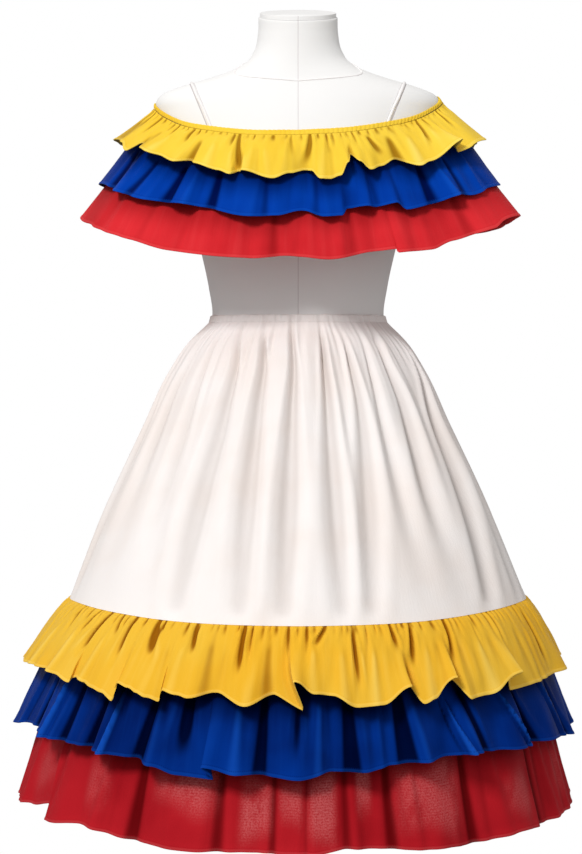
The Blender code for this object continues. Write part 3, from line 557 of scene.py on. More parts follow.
# The form: its grid, the rounded rim of its open neck and the cap's rounded edge
BODY_COLUMNS = 144
BODY_ROWS = 170
BODY_RIM = ((0.985, 0.0), (0.995, 0.0006))
BODY_RIM_DROP = 0.0012
CAP_MIDDLE = 0.3
CAP_ROUNDING = 0.0028
NECK_PIPING_COLUMNS = 240
ARMHOLE_COLUMNS = 160
# Between these heights the armhole seam turns straight, and higher up it lies prouder
ARMHOLE_STRAIGHTENS = (1.288, 1.305)
ARMHOLE_RISES = (1.330, 1.348)
ARMHOLE_SUNK = 0.0012
SHARP_EDGE = math.radians(50)

# How much of an edge the rounding of its corner may take
CORNER_REACH = 0.45

# The stand: the base's upright edge and its shoulder, the collar, the pole and the rounding
BASE_COLUMNS = 128
POLE_COLUMNS = 64
BASE_EDGE = 0.008
BASE_SHOULDER = 0.010
BASE_ROUNDING = 0.006
AXIS_RADIUS = 0.001
COLLAR_RADIUS = 0.028
COLLAR_HEIGHT = 0.040
COLLAR_BEVEL = 0.004
POLE_RADIUS = 0.016
POLE_ROUNDING = 0.0015

# The floor's rings, and where it fades into the background
FLOOR_COLUMNS = 96
FLOOR_RINGS = (0.5, 1.0, 2.0, 4.0, 9.0)
FLOOR_FADES = (0.55, 0.98)
# A square light that faces the dress's middle
SquareLight = namedtuple("SquareLight", "name place size")
KEY_LIGHT = SquareLight("key", (-2.4, -4.7, 4.9), 1.5)
FILL_LIGHT = SquareLight("fill", (2.6, -2.4, 1.4), 2.5)
LIT_MIDDLE = (0, 0, 0.9)

# Lengths in the cloths' shaders: from stitch to stitch, thread to thread and crinkle to
# crinkle, and how far up the hem's band, painted paler as a highlight, and its stitches lie
STITCH_APART = 0.0026
STITCHES_UP = 0.0046
HEM_BAND = (0.0028, 0.0046)
WEAVE_APART = 0.0009
CRINKLE_APART = 0.0034
COVER_WEAVE_APART = 0.0012
# How far out of the armhole line the form's two lines of painted shadow run, beside the piping
INNER_SHADOW_LINE_OFF = 0.0028
OUTER_SHADOW_LINE_OFF = -0.0031


def smooth_through(places, values, at):
    """A smooth curve through rows of values."""
    places = np.asarray(places, float)
    values = np.asarray(values, float)
    at = np.clip(at, places[0], places[-1])
    slopes = np.gradient(values, places)
    k = np.clip(np.searchsorted(places, at) - 1, 0, len(places) - 2)
    width = places[k + 1] - places[k]
    s = (at - places[k]) / width
    start = values[k] * (2 * s**3 - 3 * s**2 + 1) + slopes[k] * width * (s**3 - 2 * s**2 + s)
    end = values[k + 1] * (3 * s**2 - 2 * s**3) + slopes[k + 1] * width * (s**3 - s**2)
    return start + end


def ease(value, low, high):
    """0 below low, 1 above high, and smooth between."""
    s = np.clip((value - low) / (high - low), 0.0, 1.0)
    return s * s * (3 - 2 * s)


def grown_from(part, grown):
    """Growth that starts at a part of the whole instead of at nothing."""
    return part + (1 - part) * grown


def turns_round(columns, start=0):
    """Evenly spaced turns, all the way round."""
    return start + 360 * np.arange(columns) / columns


def column(rows, field):
    return [getattr(row, field) for row in rows]


def body_size(height):
    """Half width, front depth and back depth of the form at a height."""
    heights = column(BODY, "height")
    return [smooth_through(heights, column(BODY, f), height) for f in BODY[0]._fields[1:]]


def oval(turn, half_width, front, back, height):
    angle = np.radians(turn)
    depth = np.where(np.cos(angle) > 0, front, back)
    x, y, z = np.broadcast_arrays(half_width * np.sin(angle), -depth * np.cos(angle), height)
    return np.stack([x, y, z], axis=-1)


def outward(ring, turn):
    """The level direction straight out of a ring at each turn."""
    along = ring(turn + 0.5) - ring(turn - 0.5)
    away = np.stack([along[..., 1], -along[..., 0], np.zeros_like(along[..., 0])], axis=-1)
    return away / np.linalg.norm(away, axis=-1, keepdims=True)


def level_at(levels, turn):
    folded = np.abs((turn + 180) % 360 - 180)
    return smooth_through(column(levels, "turn"), column(levels, "height"), folded)


def neck_ring(turn, above=0.0):
    """The neckline seam where it lies on the form, or a level a little above it."""
    height = level_at(NECKLINE, turn) + NECK_TILT * np.sin(np.radians(turn)) + above
    return oval(turn, *body_size(height), height)


def casing_foot(turn):
    """Where the ruffles of the top leave the foot of the neckline casing."""
    return neck_ring(turn) + outward(neck_ring, turn) * CASING_FOOT_OUT


def skirt_ring(turn):
    """The seam at the foot of the cream panel, which carries the skirt's ruffles."""
    last = PANEL[-1]
    height = level_at(RUFFLE_SEAM, turn)
    return oval(turn, last.half_width, last.half_depth, last.half_depth, height)


def waist_ring(turn, above=0.0):
    height = WAIST_TOP - WAIST_CASING_HEIGHT + above
    return oval(turn, *body_size(height), height)


def fold_at(folds, turn):
    """The reach, lean and fall at each turn. The back repeats the front, half way round."""
    rows = list(folds) + [row._replace(turn=row.turn + 180) for row in folds]
    rows.append(rows[0]._replace(turn=rows[0].turn + 360))
    places = np.array(column(rows, "turn"), float)
    turn = (turn - places[0]) % 360 + places[0]
    k = np.clip(np.searchsorted(places, turn, side="right") - 1, 0, len(places) - 2)
    share = (turn - places[k]) / (places[k + 1] - places[k])
    eased = 0.5 - 0.5 * np.cos(np.pi * share)
    found = []
    for field in ("reach", "lean", "fall"):
        values = np.array(column(rows, field), float)
        found.append(values[k] + (values[k + 1] - values[k]) * eased)
    return found


def softened_reach(folds, turn):
    """The reach at each turn with its quick changes smoothed away."""
    fine = np.arange(-100, 280, SOFTEN_STEP)
    far = round(SOFTEN_FAR / SOFTEN_STEP)
    near = np.exp(-((np.arange(-far, far + 1) * SOFTEN_STEP / SOFTEN_OVER) ** 2) / 2)
    smooth = np.convolve(fold_at(folds, fine)[0], near / near.sum(), mode="same")
    return np.interp(turn, fine, smooth)


def around(side, front, back, turn):
    """A size that eases from its front or back value to its side value."""
    angle = np.radians(turn)
    sideways = np.sin(angle) ** 2
    middle = np.where(np.cos(angle) > 0, front, back)
    return side * sideways + middle * (1 - sideways)


def turn_apart(turn, other):
    """How many degrees apart two turns are, from -180 to 180."""
    return (turn - other + 180) % 360 - 180


def trough_shape(apart):
    """A narrow trough between two low shoulders."""
    shoulders = np.exp(-((np.abs(apart) - SHOULDER_PLACE) ** 2) / SHOULDER_SPREAD)
    return -np.exp(-(apart**2)) + SHOULDER_HEIGHT * shoulders


def side_seams(turn, width):
    """How far the two side seams draw the cloth in at each turn."""
    apart = np.stack([turn_apart(turn, side) for side in (-90, 90)]) / width
    return SIDE_SEAM_DEPTH * np.exp(-(apart**2)).sum(axis=0)


def draw_gathers(count, seed):
    """Fine gathers as turn, drift, width, length and strength, each a little different."""
    draw = np.random.default_rng(seed)
    step = 360 / count
    scatter = draw.uniform(-GATHER_SCATTER, GATHER_SCATTER, count)
    turns = -90 + step * (np.arange(count) + scatter)
    drift = draw.normal(0, GATHER_DRIFT, count)
    width = draw.uniform(*GATHER_WIDTHS, count)
    length = draw.uniform(*GATHER_LENGTHS, count)
    longer = draw.random(count) < LONG_GATHERS
    length[longer] += draw.uniform(*LONG_GATHERS_EXTRA, int(longer.sum()))
    strength = draw.uniform(*GATHER_STRENGTHS, count)
    return np.stack([turns, drift, width, length, strength], axis=1)


def gather_relief(turn, share, gathers, millimetre_turn, depth):
    """How far the fine gathers push the cloth in, for columns of turns and rows of shares."""
    relief = np.zeros((len(share), len(turn)))
    along = share[:, None]
    full = grown_from(GATHER_AT_SEAM, ease(along, 0, GATHER_FULL_BY))
    for at, drift, width, length, strength in gathers:
        half = width * GATHER_SPREAD * millimetre_turn
        near = np.abs(turn_apart(turn, at)) < GATHER_FAR * half + GATHER_FAR_MORE
        if not near.any():
            continue
        wide = half * (1 + GATHER_WIDENING * along / length)
        apart = turn_apart(turn[near][None, :], at + drift * along) / wide
        strong = full * (1 - ease(along, 0, length))
        relief[:, near] += strength * strong * trough_shape(apart)
    return relief * depth / 1000


def crease_relief(turn, share, creases, millimetre_turn):
    """The listed creases and ridges, the same ones at the back half way round."""
    relief = np.zeros((len(share), len(turn)))
    along = share[:, None]
    for crease in creases:
        length = crease.end - crease.start
        way = np.clip((along - crease.start) / length, 0, 1)
        full_by = crease.start + CREASE_GROWTH * length
        grown = ease(along, crease.start - CREASE_EARLY, full_by)
        if crease.start == 0:
            grown = grown_from(CREASE_AT_SEAM, grown)
        if crease.end < 1:
            fades_from = crease.start + CREASE_FADE * length
            grown = grown * (1 - ease(along, fades_from, crease.end + CREASE_FADE_PAST))
        wide = crease.width * millimetre_turn * (CREASE_SPREAD + CREASE_SPREAD * way)
        for half in (0, 180):
            place = crease.turn + (crease.end_turn - crease.turn) * way + half
            apart = turn_apart(turn[None, :], place) / wide
            relief += crease.depth * grown * trough_shape(apart)
    return relief / 1000


def draw_hem_folds(count, seed):
    """Small folds that start at the hem and fade on their way up."""
    draw = np.random.default_rng(seed)
    step = 360 / count
    scatter = draw.uniform(-HEM_FOLD_SCATTER, HEM_FOLD_SCATTER, count)
    turns = -90 + step * (np.arange(count) + scatter)
    width = draw.uniform(*HEM_FOLD_WIDTHS, count)
    length = draw.uniform(*HEM_FOLD_LENGTHS, count)
    strength = draw.uniform(*HEM_FOLD_STRENGTHS, count) * draw.choice([-1, 1], count)
    return np.stack([turns, width, length, strength], axis=1)


def hem_relief(turn, share, folds, millimetre_turn, depth):
    """How far the small folds at the hem push the cloth out or in."""
    relief = np.zeros((len(share), len(turn)))
    along = share[:, None]
    for at, width, length, strength in folds:
        wide = width * HEM_FOLD_SPREAD * millimetre_turn
        near = np.abs(turn_apart(turn, at)) < HEM_FOLD_FAR * wide
        apart = turn_apart(turn[near], at)[None, :] / wide
        relief[:, near] += strength * ease(along, 1 - length, 1) * np.exp(-(apart**2))
    return relief * depth / 1000


def hem_levels(ruffle):
    """How far below the seam a ruffle's hem hangs, for each whole degree of turn."""
    turn = np.arange(-90, 270, 0.1)
    _, lean, fall = fold_at(ruffle.folds, turn)
    drop = around(ruffle.side_drop, ruffle.front_drop, ruffle.back_drop, turn) + fall / 1000
    degree = np.round(turn + lean).astype(int) % 360
    levels = np.zeros(360)
    np.maximum.at(levels, degree, drop)
    return levels


def light_through(turned, share):
    """How much light comes through the sheer cloth at each point."""
    along = share[:, None]
    amount = np.zeros_like(turned)
    for patch in SHEER_PATCHES:
        angle = np.radians(turned * PATCH_BENDS + PATCH_BEND_SHIFT * patch.turn)
        bend = PATCH_BEND * np.sin(angle)
        tall = ease(along + bend, patch.start - PATCH_TOP[0], patch.start + PATCH_TOP[1])
        foot = ease(along - bend, patch.end - PATCH_FOOT[0], patch.end + PATCH_FOOT[1])
        for half, strength in ((0, patch.strength), (180, LIGHT_BEHIND * patch.strength)):
            apart = np.abs(turn_apart(turned, patch.turn + half))
            wide = 1 - ease(apart, *[side * patch.half_width for side in PATCH_SIDES])
            amount = np.maximum(amount, strength * tall * (1 - foot) * wide)
    return amount


class Envelope:
    """How far out the layers of one seam reach, by turn and by fall below the seam."""

    TURN_STEP = 0.5
    FALL_STEP = 0.004
    TURNS = 720
    FALLS = 90
    DOWN_BETWEEN = np.arange(3) / 3
    SIDEWAYS_BETWEEN = (0.0, 0.5)
    EMPTY = -0.02

    def __init__(self):
        self.reach = np.full((self.TURNS, self.FALLS), self.EMPTY)
        self.filled = False

    def add(self, turned, out, fall):
        self.filled = True
        for a in self.DOWN_BETWEEN:
            for b in self.SIDEWAYS_BETWEEN:
                parts = []
                for grid in (turned, out, fall):
                    ahead = np.roll(grid, -1, axis=1)
                    if grid is turned:
                        ahead = grid + turn_apart(ahead, grid)
                    sideways = grid * (1 - b) + ahead * b
                    parts.append(sideways[:-1] * (1 - a) + sideways[1:] * a)
                t = (parts[0] / self.TURN_STEP).round().astype(int) % self.TURNS
                f = np.clip((parts[2] / self.FALL_STEP).round().astype(int), 0, self.FALLS - 1)
                np.maximum.at(self.reach, (t, f), parts[1])

    def eased(self):
        """The table with its peaks a step wider, and smoothed."""
        table = self.reach.copy()
        for shift in (-1, 1):
            table = np.maximum(table, np.roll(self.reach, shift, axis=0))
        for _ in range(2):
            table = (np.roll(table, 1, 0) + 2 * table + np.roll(table, -1, 0)) / 4
            inside = np.pad(table, ((0, 0), (1, 1)), mode="edge")
            table = (inside[:, :-2] + 2 * table + inside[:, 2:]) / 4
        return table

    def at(self, table, turned, fall):
        t = turned / self.TURN_STEP
        f = np.clip(fall / self.FALL_STEP, 0, self.FALLS - 1.001)
        t0 = np.floor(t).astype(int)
        f0 = np.floor(f).astype(int)
        a, b = t - t0, f - f0
        here, ahead = t0 % self.TURNS, (t0 + 1) % self.TURNS
        low = table[here, f0] * (1 - a) + table[ahead, f0] * a
        high = table[here, f0 + 1] * (1 - a) + table[ahead, f0 + 1] * a
        return low * (1 - b) + high * b


def soft_greater(one, other, softness):
    return 0.5 * (one + other + np.sqrt((one - other) ** 2 + softness**2))


def even_hem_turns(ruffle, ring):
    """Turns whose columns stand about evenly apart along the waving hem."""
    turn = np.linspace(-90, 270, 14401)
    reach, lean, _ = fold_at(ruffle.folds, turn)
    turned = turn + lean
    out = around(ruffle.side_out, ruffle.front_out, ruffle.back_out, turn) + ruffle.swing * reach
    hem = ring(turned) + outward(ring, turned) * out[:, None]
    along = np.concatenate([[0], np.cumsum(np.linalg.norm(np.diff(hem, axis=0), axis=1))])
    marks = np.arange(ruffle.columns) / ruffle.columns * along[-1]
    return np.interp(marks, along, turn), along[-1]


def ruffle_shares(ruffle):
    """Rows from the seam to the hem, closer at both, with the rolled hem's own rows."""
    hem = HEM_WIDTH / ruffle.front_drop
    plain = np.linspace(0, 1, ruffle.rows - len(HEM_ROWS)) ** ROW_CROWDING * (1 - hem)
    return np.concatenate([plain, [1 - part * hem for part in HEM_ROWS]])


def ruffle_out(ruffle, ring, turn, share, reach):
    """How far out of its seam ring a ruffle's large waves carry each point."""
    along = share[:, None]
    flare = ruffle.flare
    if ring is casing_foot:
        flare = around(max(flare, TOP_SIDE_FLARE), flare, flare, turn)
    out = around(ruffle.side_out, ruffle.front_out, ruffle.back_out, turn) * along**flare
    quick = SEAM_WAVE * (1 - np.exp(-along / SEAM_WAVE_SHARE))
    return out + ruffle.swing * (quick + (1 - SEAM_WAVE) * along**WAVE_GROWTH) * reach


def ruffle_surface(ruffle, ring, envelope, seam_in, hem_wave, covering=None):
    """The middle surface of a ruffle as a grid of points, with each point's place on it."""
    turn, hem_length = even_hem_turns(ruffle, ring)
    share = ruffle_shares(ruffle)
    along = share[:, None]
    reach, lean, fall = fold_at(ruffle.folds, turn)
    soft = softened_reach(ruffle.folds, turn)
    reach = soft + (reach - soft) * ease(along, *SHARPENS)
    seam = np.concatenate([ring(turn), ring(turn[:1])])
    seam_length = np.linalg.norm(np.diff(seam, axis=0), axis=1).sum()
    millimetre_turn = 360 / 1000 / seam_length

    gathers = draw_gathers(round(seam_length * 1000 / ruffle.apart), ruffle.seed)
    relief = gather_relief(turn, share, gathers, millimetre_turn, ruffle.gather)
    relief = relief + crease_relief(turn, share, ruffle.creases, millimetre_turn)
    folds = draw_hem_folds(round(hem_length * 1000 / HEM_FOLD_APART), ruffle.seed + HEM_FOLD_SEED)
    out = ruffle_out(ruffle, ring, turn, share, reach) + relief
    out = out + hem_relief(turn, share, folds, millimetre_turn, hem_wave)
    out = out - side_seams(turn, SIDE_SEAM_WIDTH)
    out = out - ruffle.depth * LAYER_OFFSET - seam_in * np.exp(-along / SEAM_PULL_SHARE)

    drop = around(ruffle.side_drop, ruffle.front_drop, ruffle.back_drop, turn)
    if ring is skirt_ring:
        drop = drop + level_at(RUFFLE_SEAM, turn) - RUFFLE_SEAM[0].height
    if ring is casing_foot:
        fall = fall + 1000 * NECK_TILT * np.sin(np.radians(turn))
    down = along * drop + fall / 1000 * along**FALL_GROWTH
    turned = turn + lean * along**3
    if envelope.filled:
        grown = np.minimum(1, along / CLEAR_BY_SHARE)
        least = envelope.at(envelope.eased(), turned, down) + LAYER_CLEARANCE * grown
        out = soft_greater(out, least, SOFTNESS * grown + LEAST_SOFTNESS)
    envelope.add(turned, out, down)

    grid = ring(turned) + outward(ring, turned) * out[..., None]
    grid[..., 2] -= down + SEAM_GAP
    lengths = np.interp(np.arange(len(turn)), [0, len(turn)], [0, hem_length])
    cloth = np.stack(np.broadcast_arrays(lengths[None, :], down, (1 - along) * drop), axis=-1)
    # Painted shade for hollows and wave troughs, painted highlight for ridges and wave crests
    dip = np.where(relief < 0, -relief / DARK_TROUGH, -relief / PALE_RIDGE)
    dip = np.clip(dip - WAVE_SHADE * reach * ease(along, 0, WAVE_SHADE_BY), -1, 1)
    layers = {"cloth": cloth, "dip": dip}
    # How far below the hem of the ruffle that covers it each point hangs, for a painted shadow
    # there
    if covering:
        levels = hem_levels(covering)
        above = np.interp(turned % 360, np.arange(361), np.append(levels, levels[0]))
        layers["under"] = down - above
    if RUFFLE_CLOTHS[ruffle.name] == "sheer":
        layers["through"] = light_through(turned, share)
    return grid, layers


def grid_normals(grid):
    """Unit normals, pointing out, of a grid whose columns go all the way round."""
    along = np.roll(grid, -1, axis=1) - np.roll(grid, 1, axis=1)
    down = np.gradient(grid, axis=0)
    normals = np.cross(down, along)
    return normals / np.linalg.norm(normals, axis=2, keepdims=True)


def ring_faces(rows, columns, start=0, inside_out=False):
    """Quads between rows of points that each go all the way round."""
    index = np.arange(rows * columns).reshape(rows, columns) + start
    right = np.roll(index, -1, axis=1)
    faces = np.stack([index[:-1], index[1:], right[1:], right[:-1]], axis=-1).reshape(-1, 4)
    return faces[:, ::-1] if inside_out else faces


def shell_faces(rows, columns):
    """A closed shell's faces: its outer grid, its inner grid, its top rim and its foot rim."""
    count = rows * columns
    top = np.arange(columns)
    ahead = np.roll(top, -1)
    rim = np.stack([top, ahead, ahead + count, top + count], axis=-1)
    foot = rim[:, ::-1] + (rows - 1) * columns
    outside = ring_faces(rows, columns)
    inside = ring_faces(rows, columns, count, True)
    return np.concatenate([outside, inside, rim, foot])


def mesh_piece(name, points, faces, material, slot, nodes=(), sharp=SHARP_EDGE):
    """A smooth-shaded piece that rides on the body and stands for the given nodes."""
    mesh = bpy.data.meshes.new(name)
    mesh.from_pydata(points, [], faces)
    mesh.update()
    mesh.shade_smooth()
    mesh.set_sharp_from_angle(angle=sharp)
    mesh.materials.append(material)
    piece = bpy.data.objects.new(name, mesh)
    bpy.context.scene.collection.objects.link(piece)
    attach(piece, "root")
    if nodes:
        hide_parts(*nodes)
    return piece


def halves(name):
    return [f"{name}_front", f"{name}_back"]


def add_layer(piece, name, values):
    """Keep a number or a vector at each point for the shaders."""
    kind, key = ("FLOAT_VECTOR", "vector") if values.shape[-1] == 3 else ("FLOAT", "value")
    layer = piece.data.attributes.new(name, kind, "POINT")
    layer.data.foreach_set(key, values.astype(np.float32).ravel())


def shell_piece(name, grid, thickness, layers, material, slot):
    """A closed thin shell about a grid, which stands for its front and back solids."""
    rows, columns = grid.shape[:2]
    half = (np.broadcast_to(thickness, (rows,)) / 2)[:, None, None]
    normals = grid_normals(grid)
    points = np.concatenate([grid + normals * half, grid - normals * half]).reshape(-1, 3)
    piece = mesh_piece(name, points, shell_faces(rows, columns), material, slot, halves(name))
    for layer, values in layers.items():
        add_layer(piece, layer, np.concatenate([values, values]))
    return piece


def make_ruffle_group(ruffles, ring, sway, seam_pull, hem_wave, finishes):
    """The layers that hang from one seam, from the innermost out."""
    envelope = Envelope()
    for ruffle, covering in zip(ruffles, [*ruffles[1:], None]):
        pull = seam_pull[ruffle.depth]
        grid, layers = ruffle_surface(ruffle, ring, envelope, pull, hem_wave, covering)
        share = ruffle_shares(ruffle)
        grid[..., 0] += sway * share[:, None]
        from_hem = (1 - share) * ruffle.front_drop
        thickness = np.where(from_hem < HEM_ROLL * HEM_WIDTH, HEM_CLOTH, CLOTH)
        thickness[-1] = HEM_EDGE * HEM_CLOTH
        material, slot = finishes[RUFFLE_CLOTHS[ruffle.name]]
        piece = shell_piece(ruffle.name, grid, thickness, layers, material, slot)


def trough_turn(trough, drop):
    turns = [trough.waist, trough.hip, trough.upper, trough.middle, trough.foot]
    return smooth_through(PANEL_TROUGH_DROPS, turns, drop)


def panel_relief(turn, drop, radius):
    """The panel's listed troughs, and those half way round, in metres inwards."""
    relief = np.zeros((len(drop), len(turn)))
    widened = TROUGH_WIDTH_AT_WAIST + TROUGH_WIDENING * ease(drop, 0, TROUGH_WIDE_BY)
    for trough in PANEL_TROUGHS:
        grown = ease(drop, trough.start - TROUGH_EARLY, trough.start + TROUGH_GROWTH)
        if trough.start == 0:
            grown = grown_from(TROUGH_AT_WAIST, grown)
        reaches_foot = trough.end == PANEL_TROUGH_DROPS[-1]
        fading = ease(drop, trough.end - TROUGH_FADE, trough.end)
        faded = 1 - (TROUGH_FADE_AT_FOOT if reaches_foot else 1) * fading
        strong = TROUGH_DEPTH * trough.depth / 1000 * grown * faded
        wide = trough.width / 1000 * widened / radius
        place = trough_turn(trough, drop)
        for half in (0, 180):
            apart = turn_apart(turn[None, :], (place + half)[:, None])
            apart = np.radians(apart) / wide[:, None]
            relief += strong[:, None] * trough_shape(apart)
    return relief


def panel_gathers(turn, drop, radius):
    """The many fine gathers below the waist casing, uneven in length and depth."""
    draw = np.random.default_rng(PANEL_GATHER_SEED)
    step = 360 / PANEL_GATHERS
    relief = np.zeros((len(drop), len(turn)))
    for k in range(PANEL_GATHERS):
        at = -90 + step * (k + draw.uniform(-PANEL_GATHER_SCATTER, PANEL_GATHER_SCATTER))
        length = draw.choice(PANEL_GATHER_LENGTHS, p=PANEL_GATHER_CHANCES)
        length *= draw.uniform(*PANEL_GATHER_STRETCH)
        depth = draw.uniform(*PANEL_GATHER_DEPTHS) / 1000
        depth *= PANEL_GATHER_SHORT + PANEL_GATHER_LONG * length
        width = draw.uniform(*PANEL_GATHER_WIDTHS)
        place = at + draw.normal(0, PANEL_GATHER_DRIFT) * ease(drop, 0, PANEL_GATHER_DRIFT_BY)
        wide = width * (1 + PANEL_GATHER_WIDENING * drop) / radius
        apart = np.radians(turn_apart(turn[None, :], place[:, None])) / wide[:, None]
        grown = grown_from(PANEL_GATHER_AT_WAIST, ease(drop, 0, PANEL_GATHER_FULL_BY))
        strong = grown * (1 - ease(drop, PANEL_GATHER_FADE * length, length))
        relief += depth * strong[:, None] * trough_shape(apart)
    return relief


def panel_surface():
    """The middle surface of the cream panel, from under its casing to the ruffles' seam."""
    turn = turns_round(PANEL_COLUMNS, -90)
    last = PANEL[-1].drop
    drop = last * np.linspace(0, 1, PANEL_ROWS) ** PANEL_CROWDING
    drops = column(PANEL, "drop")
    half_width = smooth_through(drops, column(PANEL, "half_width"), drop)
    half_depth = smooth_through(drops, column(PANEL, "half_depth"), drop)
    swing = np.interp(drop, drops, column(PANEL, "swing"))
    radius = np.sqrt(half_width * half_depth)
    relief = panel_relief(turn, drop, radius) + panel_gathers(turn, drop, radius)
    stand = swing[:, None] * fold_at(PANEL_FOLDS, turn)[0][None, :] + relief
    stand = stand - side_seams(turn, PANEL_SIDE_SEAM_WIDTH)
    foot = ease(drop, last - PANEL_FOOT, last)[:, None]
    stand = stand * (1 - foot) + PANEL_TURN_IN * foot
    wide = half_width[:, None] + stand
    deep = half_depth[:, None] + stand
    top = WAIST_TOP - WAIST_CASING_HEIGHT - SEAM_GAP
    height = top + (level_at(RUFFLE_SEAM, turn) - top)[None, :] * (drop / last)[:, None]
    grid = oval(turn[None, :], wide, deep, deep, height)
    lengths = np.radians(turn + 90) * radius[-1]
    up = last - drop + NO_HEM_NEAR
    places = np.broadcast_arrays(lengths[None, :], drop[:, None], up[:, None])
    # Painted shade in the panel's troughs and a painted highlight on its ridges
    dip = np.clip(-relief / PALE_RIDGE, -1, 1) * (1 - foot)
    return grid, {"cloth": np.stack(places, axis=-1), "dip": dip}


def uneven_ribs(turn, ribs, seed):
    """Shirred ribs of uneven width and strength, from 0 between them to 1 at a crest."""
    draw = np.random.default_rng(seed)
    angle = np.radians(turn)
    bend = sum(
        draw.uniform(*RIB_BEND_SIZES) / order * np.sin(angle * order + draw.uniform(0, 6))
        for order in RIB_BENDS
    )
    phase = angle * ribs + RIB_BEND * bend
    quick, slow = RIB_WAVES
    strength = 1 - RIB_UNEVEN + RIB_UNEVEN * np.sin(angle * quick + 2) * np.sin(angle * slow)
    return (0.5 + 0.5 * np.cos(phase)) ** RIB_BREADTH * strength


def casing_piece(name, outer, inner, levels, length, finish):
    """A closed strip between an outer and an inner grid, which both run from the top down."""
    rows, columns = outer.shape[:2]
    points = np.concatenate([outer, inner]).reshape(-1, 3)
    faces = shell_faces(rows, columns)
    piece = mesh_piece(name, points, faces, *finish, halves(name), CASING_SHARP_EDGE)
    along = np.broadcast_to(np.arange(columns) / columns * length, (rows, columns))
    up = np.broadcast_to(levels[:, None], (rows, columns))
    places = np.stack([along, up, np.full_like(up, NO_HEM_NEAR)], axis=-1)
    add_layer(piece, "cloth", np.concatenate([places, places]))


def ring_length(ring):
    loop = ring(np.linspace(-90, 270, 721))
    return np.linalg.norm(np.diff(loop, axis=0), axis=1).sum()


def neck_casing(spacing, depth, finish):
    """The shirred elastic casing at the neckline: narrow ribs, its foot over the ruffles."""
    length = ring_length(neck_ring)
    ribs = round(length / spacing)
    turn = turns_round(ribs * RIB_COLUMNS, -90)
    rib = uneven_ribs(turn, ribs, seed=41)
    outer = []
    inner = []
    for row in NECK_CASING_ROWS:
        def at(t, above=row.level * NECK_CASING_HEIGHT):
            return neck_ring(t, above)
        away = outward(at, turn)
        outer.append(at(turn) + away * (row.out + depth * rib)[:, None])
        inner.append(at(turn) + away * CASING_INSIDE)
        outer[-1][:, 2] += NECK_RIB_LIFT * rib * (row.level > NECK_LIFT_LEVEL)
    levels = np.array(column(NECK_CASING_ROWS, "level"))
    casing_piece("top_neck_casing", np.array(outer), np.array(inner),
                 levels * NECK_CASING_HEIGHT, length, finish)


def waist_casing(spacing, depth, finish):
    """The waist's elastic casing: the panel's gathers run up through it to a ragged edge."""
    length = ring_length(waist_ring)
    ribs = round(length / spacing)
    turn = turns_round(WAIST_CASING_COLUMNS, -90)
    rib = uneven_ribs(turn, ribs, seed=42)
    tuft = uneven_ribs(turn, round(ribs * TUFTS_TO_A_RIB), seed=43)
    tuft = tuft * uneven_ribs(turn, TUFT_CLUMPS, seed=44)
    start = PANEL[0]
    radius = np.array([math.sqrt(start.half_width * start.half_depth)])
    waist = np.zeros(1)
    relief = (panel_relief(turn, waist, radius) + panel_gathers(turn, waist, radius))[0]
    levels = np.array(WAIST_CASING_LEVELS)
    outer = []
    inner = []
    for level in levels:
        height = WAIST_TOP - WAIST_CASING_HEIGHT * (1 - level)
        body = body_size(np.array(height))
        edge_in = WAIST_EDGE_IN * (level > WAIST_EDGE_LEVEL)
        tight = [size + WAIST_CASING_OUT - edge_in for size in body]
        loose = (start.half_width, start.half_depth, start.half_depth)
        way = (1 - level) ** WAIST_SPREAD
        sizes = [a * (1 - way) + b * way for a, b in zip(tight, loose)]
        stand = relief * (1 - WAIST_GATHERS_LOST * level) + depth * rib * level
        row = oval(turn, *[size + stand for size in sizes], height)
        row[:, 2] += WAIST_TUFT * (tuft - TUFT_MIDDLE) * ease(level, *TUFT_LEVELS)
        outer.append(row)
        inner.append(oval(turn, *[size + CASING_INSIDE for size in body], height))
    casing_piece("skirt_waist_casing", np.array(outer), np.array(inner),
                 levels * WAIST_CASING_HEIGHT, length, finish)


def turned_piece(name, profile, material, slot, nodes, columns):
    """A piece turned about the Z axis from rows of (radius, height), bottom to top."""
    turn = turns_round(columns)
    rings = [oval(turn, radius, radius, radius, height) for radius, height in profile[::-1]]
    return capped_piece(name, rings, material, slot, nodes)


def capped_piece(name, rings, material, slot, nodes):
    """A closed piece through level rings from the top down, with a fan at each end."""
    columns = len(rings[0])
    rows = len(rings)
    points = np.concatenate([*rings, [rings[0].mean(axis=0)], [rings[-1].mean(axis=0)]])
    faces = ring_faces(rows, columns).tolist()
    top = rows * columns
    last = top - columns
    for k in range(columns):
        ahead = (k + 1) % columns
        faces.append((k, ahead, top))
        faces.append((last + ahead, last + k, top + 1))
    return mesh_piece(name, points, faces, material, slot, nodes)


def rounded_profile(corners, radius, steps=6):
    """An outline of (radius, height) rows with its inner corners rounded off."""
    made = [corners[0]]
    for before, here, after in zip(corners, corners[1:], corners[2:]):
        here = Vector(here)
        one = Vector(before) - here
        other = Vector(after) - here
        cut = min(radius, one.length * CORNER_REACH, other.length * CORNER_REACH)
        start = here + one.normalized() * cut
        end = here + other.normalized() * cut
        for k in range(steps + 1):
            s = k / steps
            made.append(tuple(start * (1 - s) ** 2 + here * 2 * s * (1 - s) + end * s * s))
    made.append(corners[-1])
    return made


def slanted(points):
    """The neck's upper part tipped so that its front is lower than its back."""
    size = body_size(np.array(NECK_TOP))
    grown = ease(points[..., 2], NECK_SLANT_START, NECK_TOP)
    points[..., 2] += NECK_SLANT * grown * points[..., 1] / size[1]
    return points


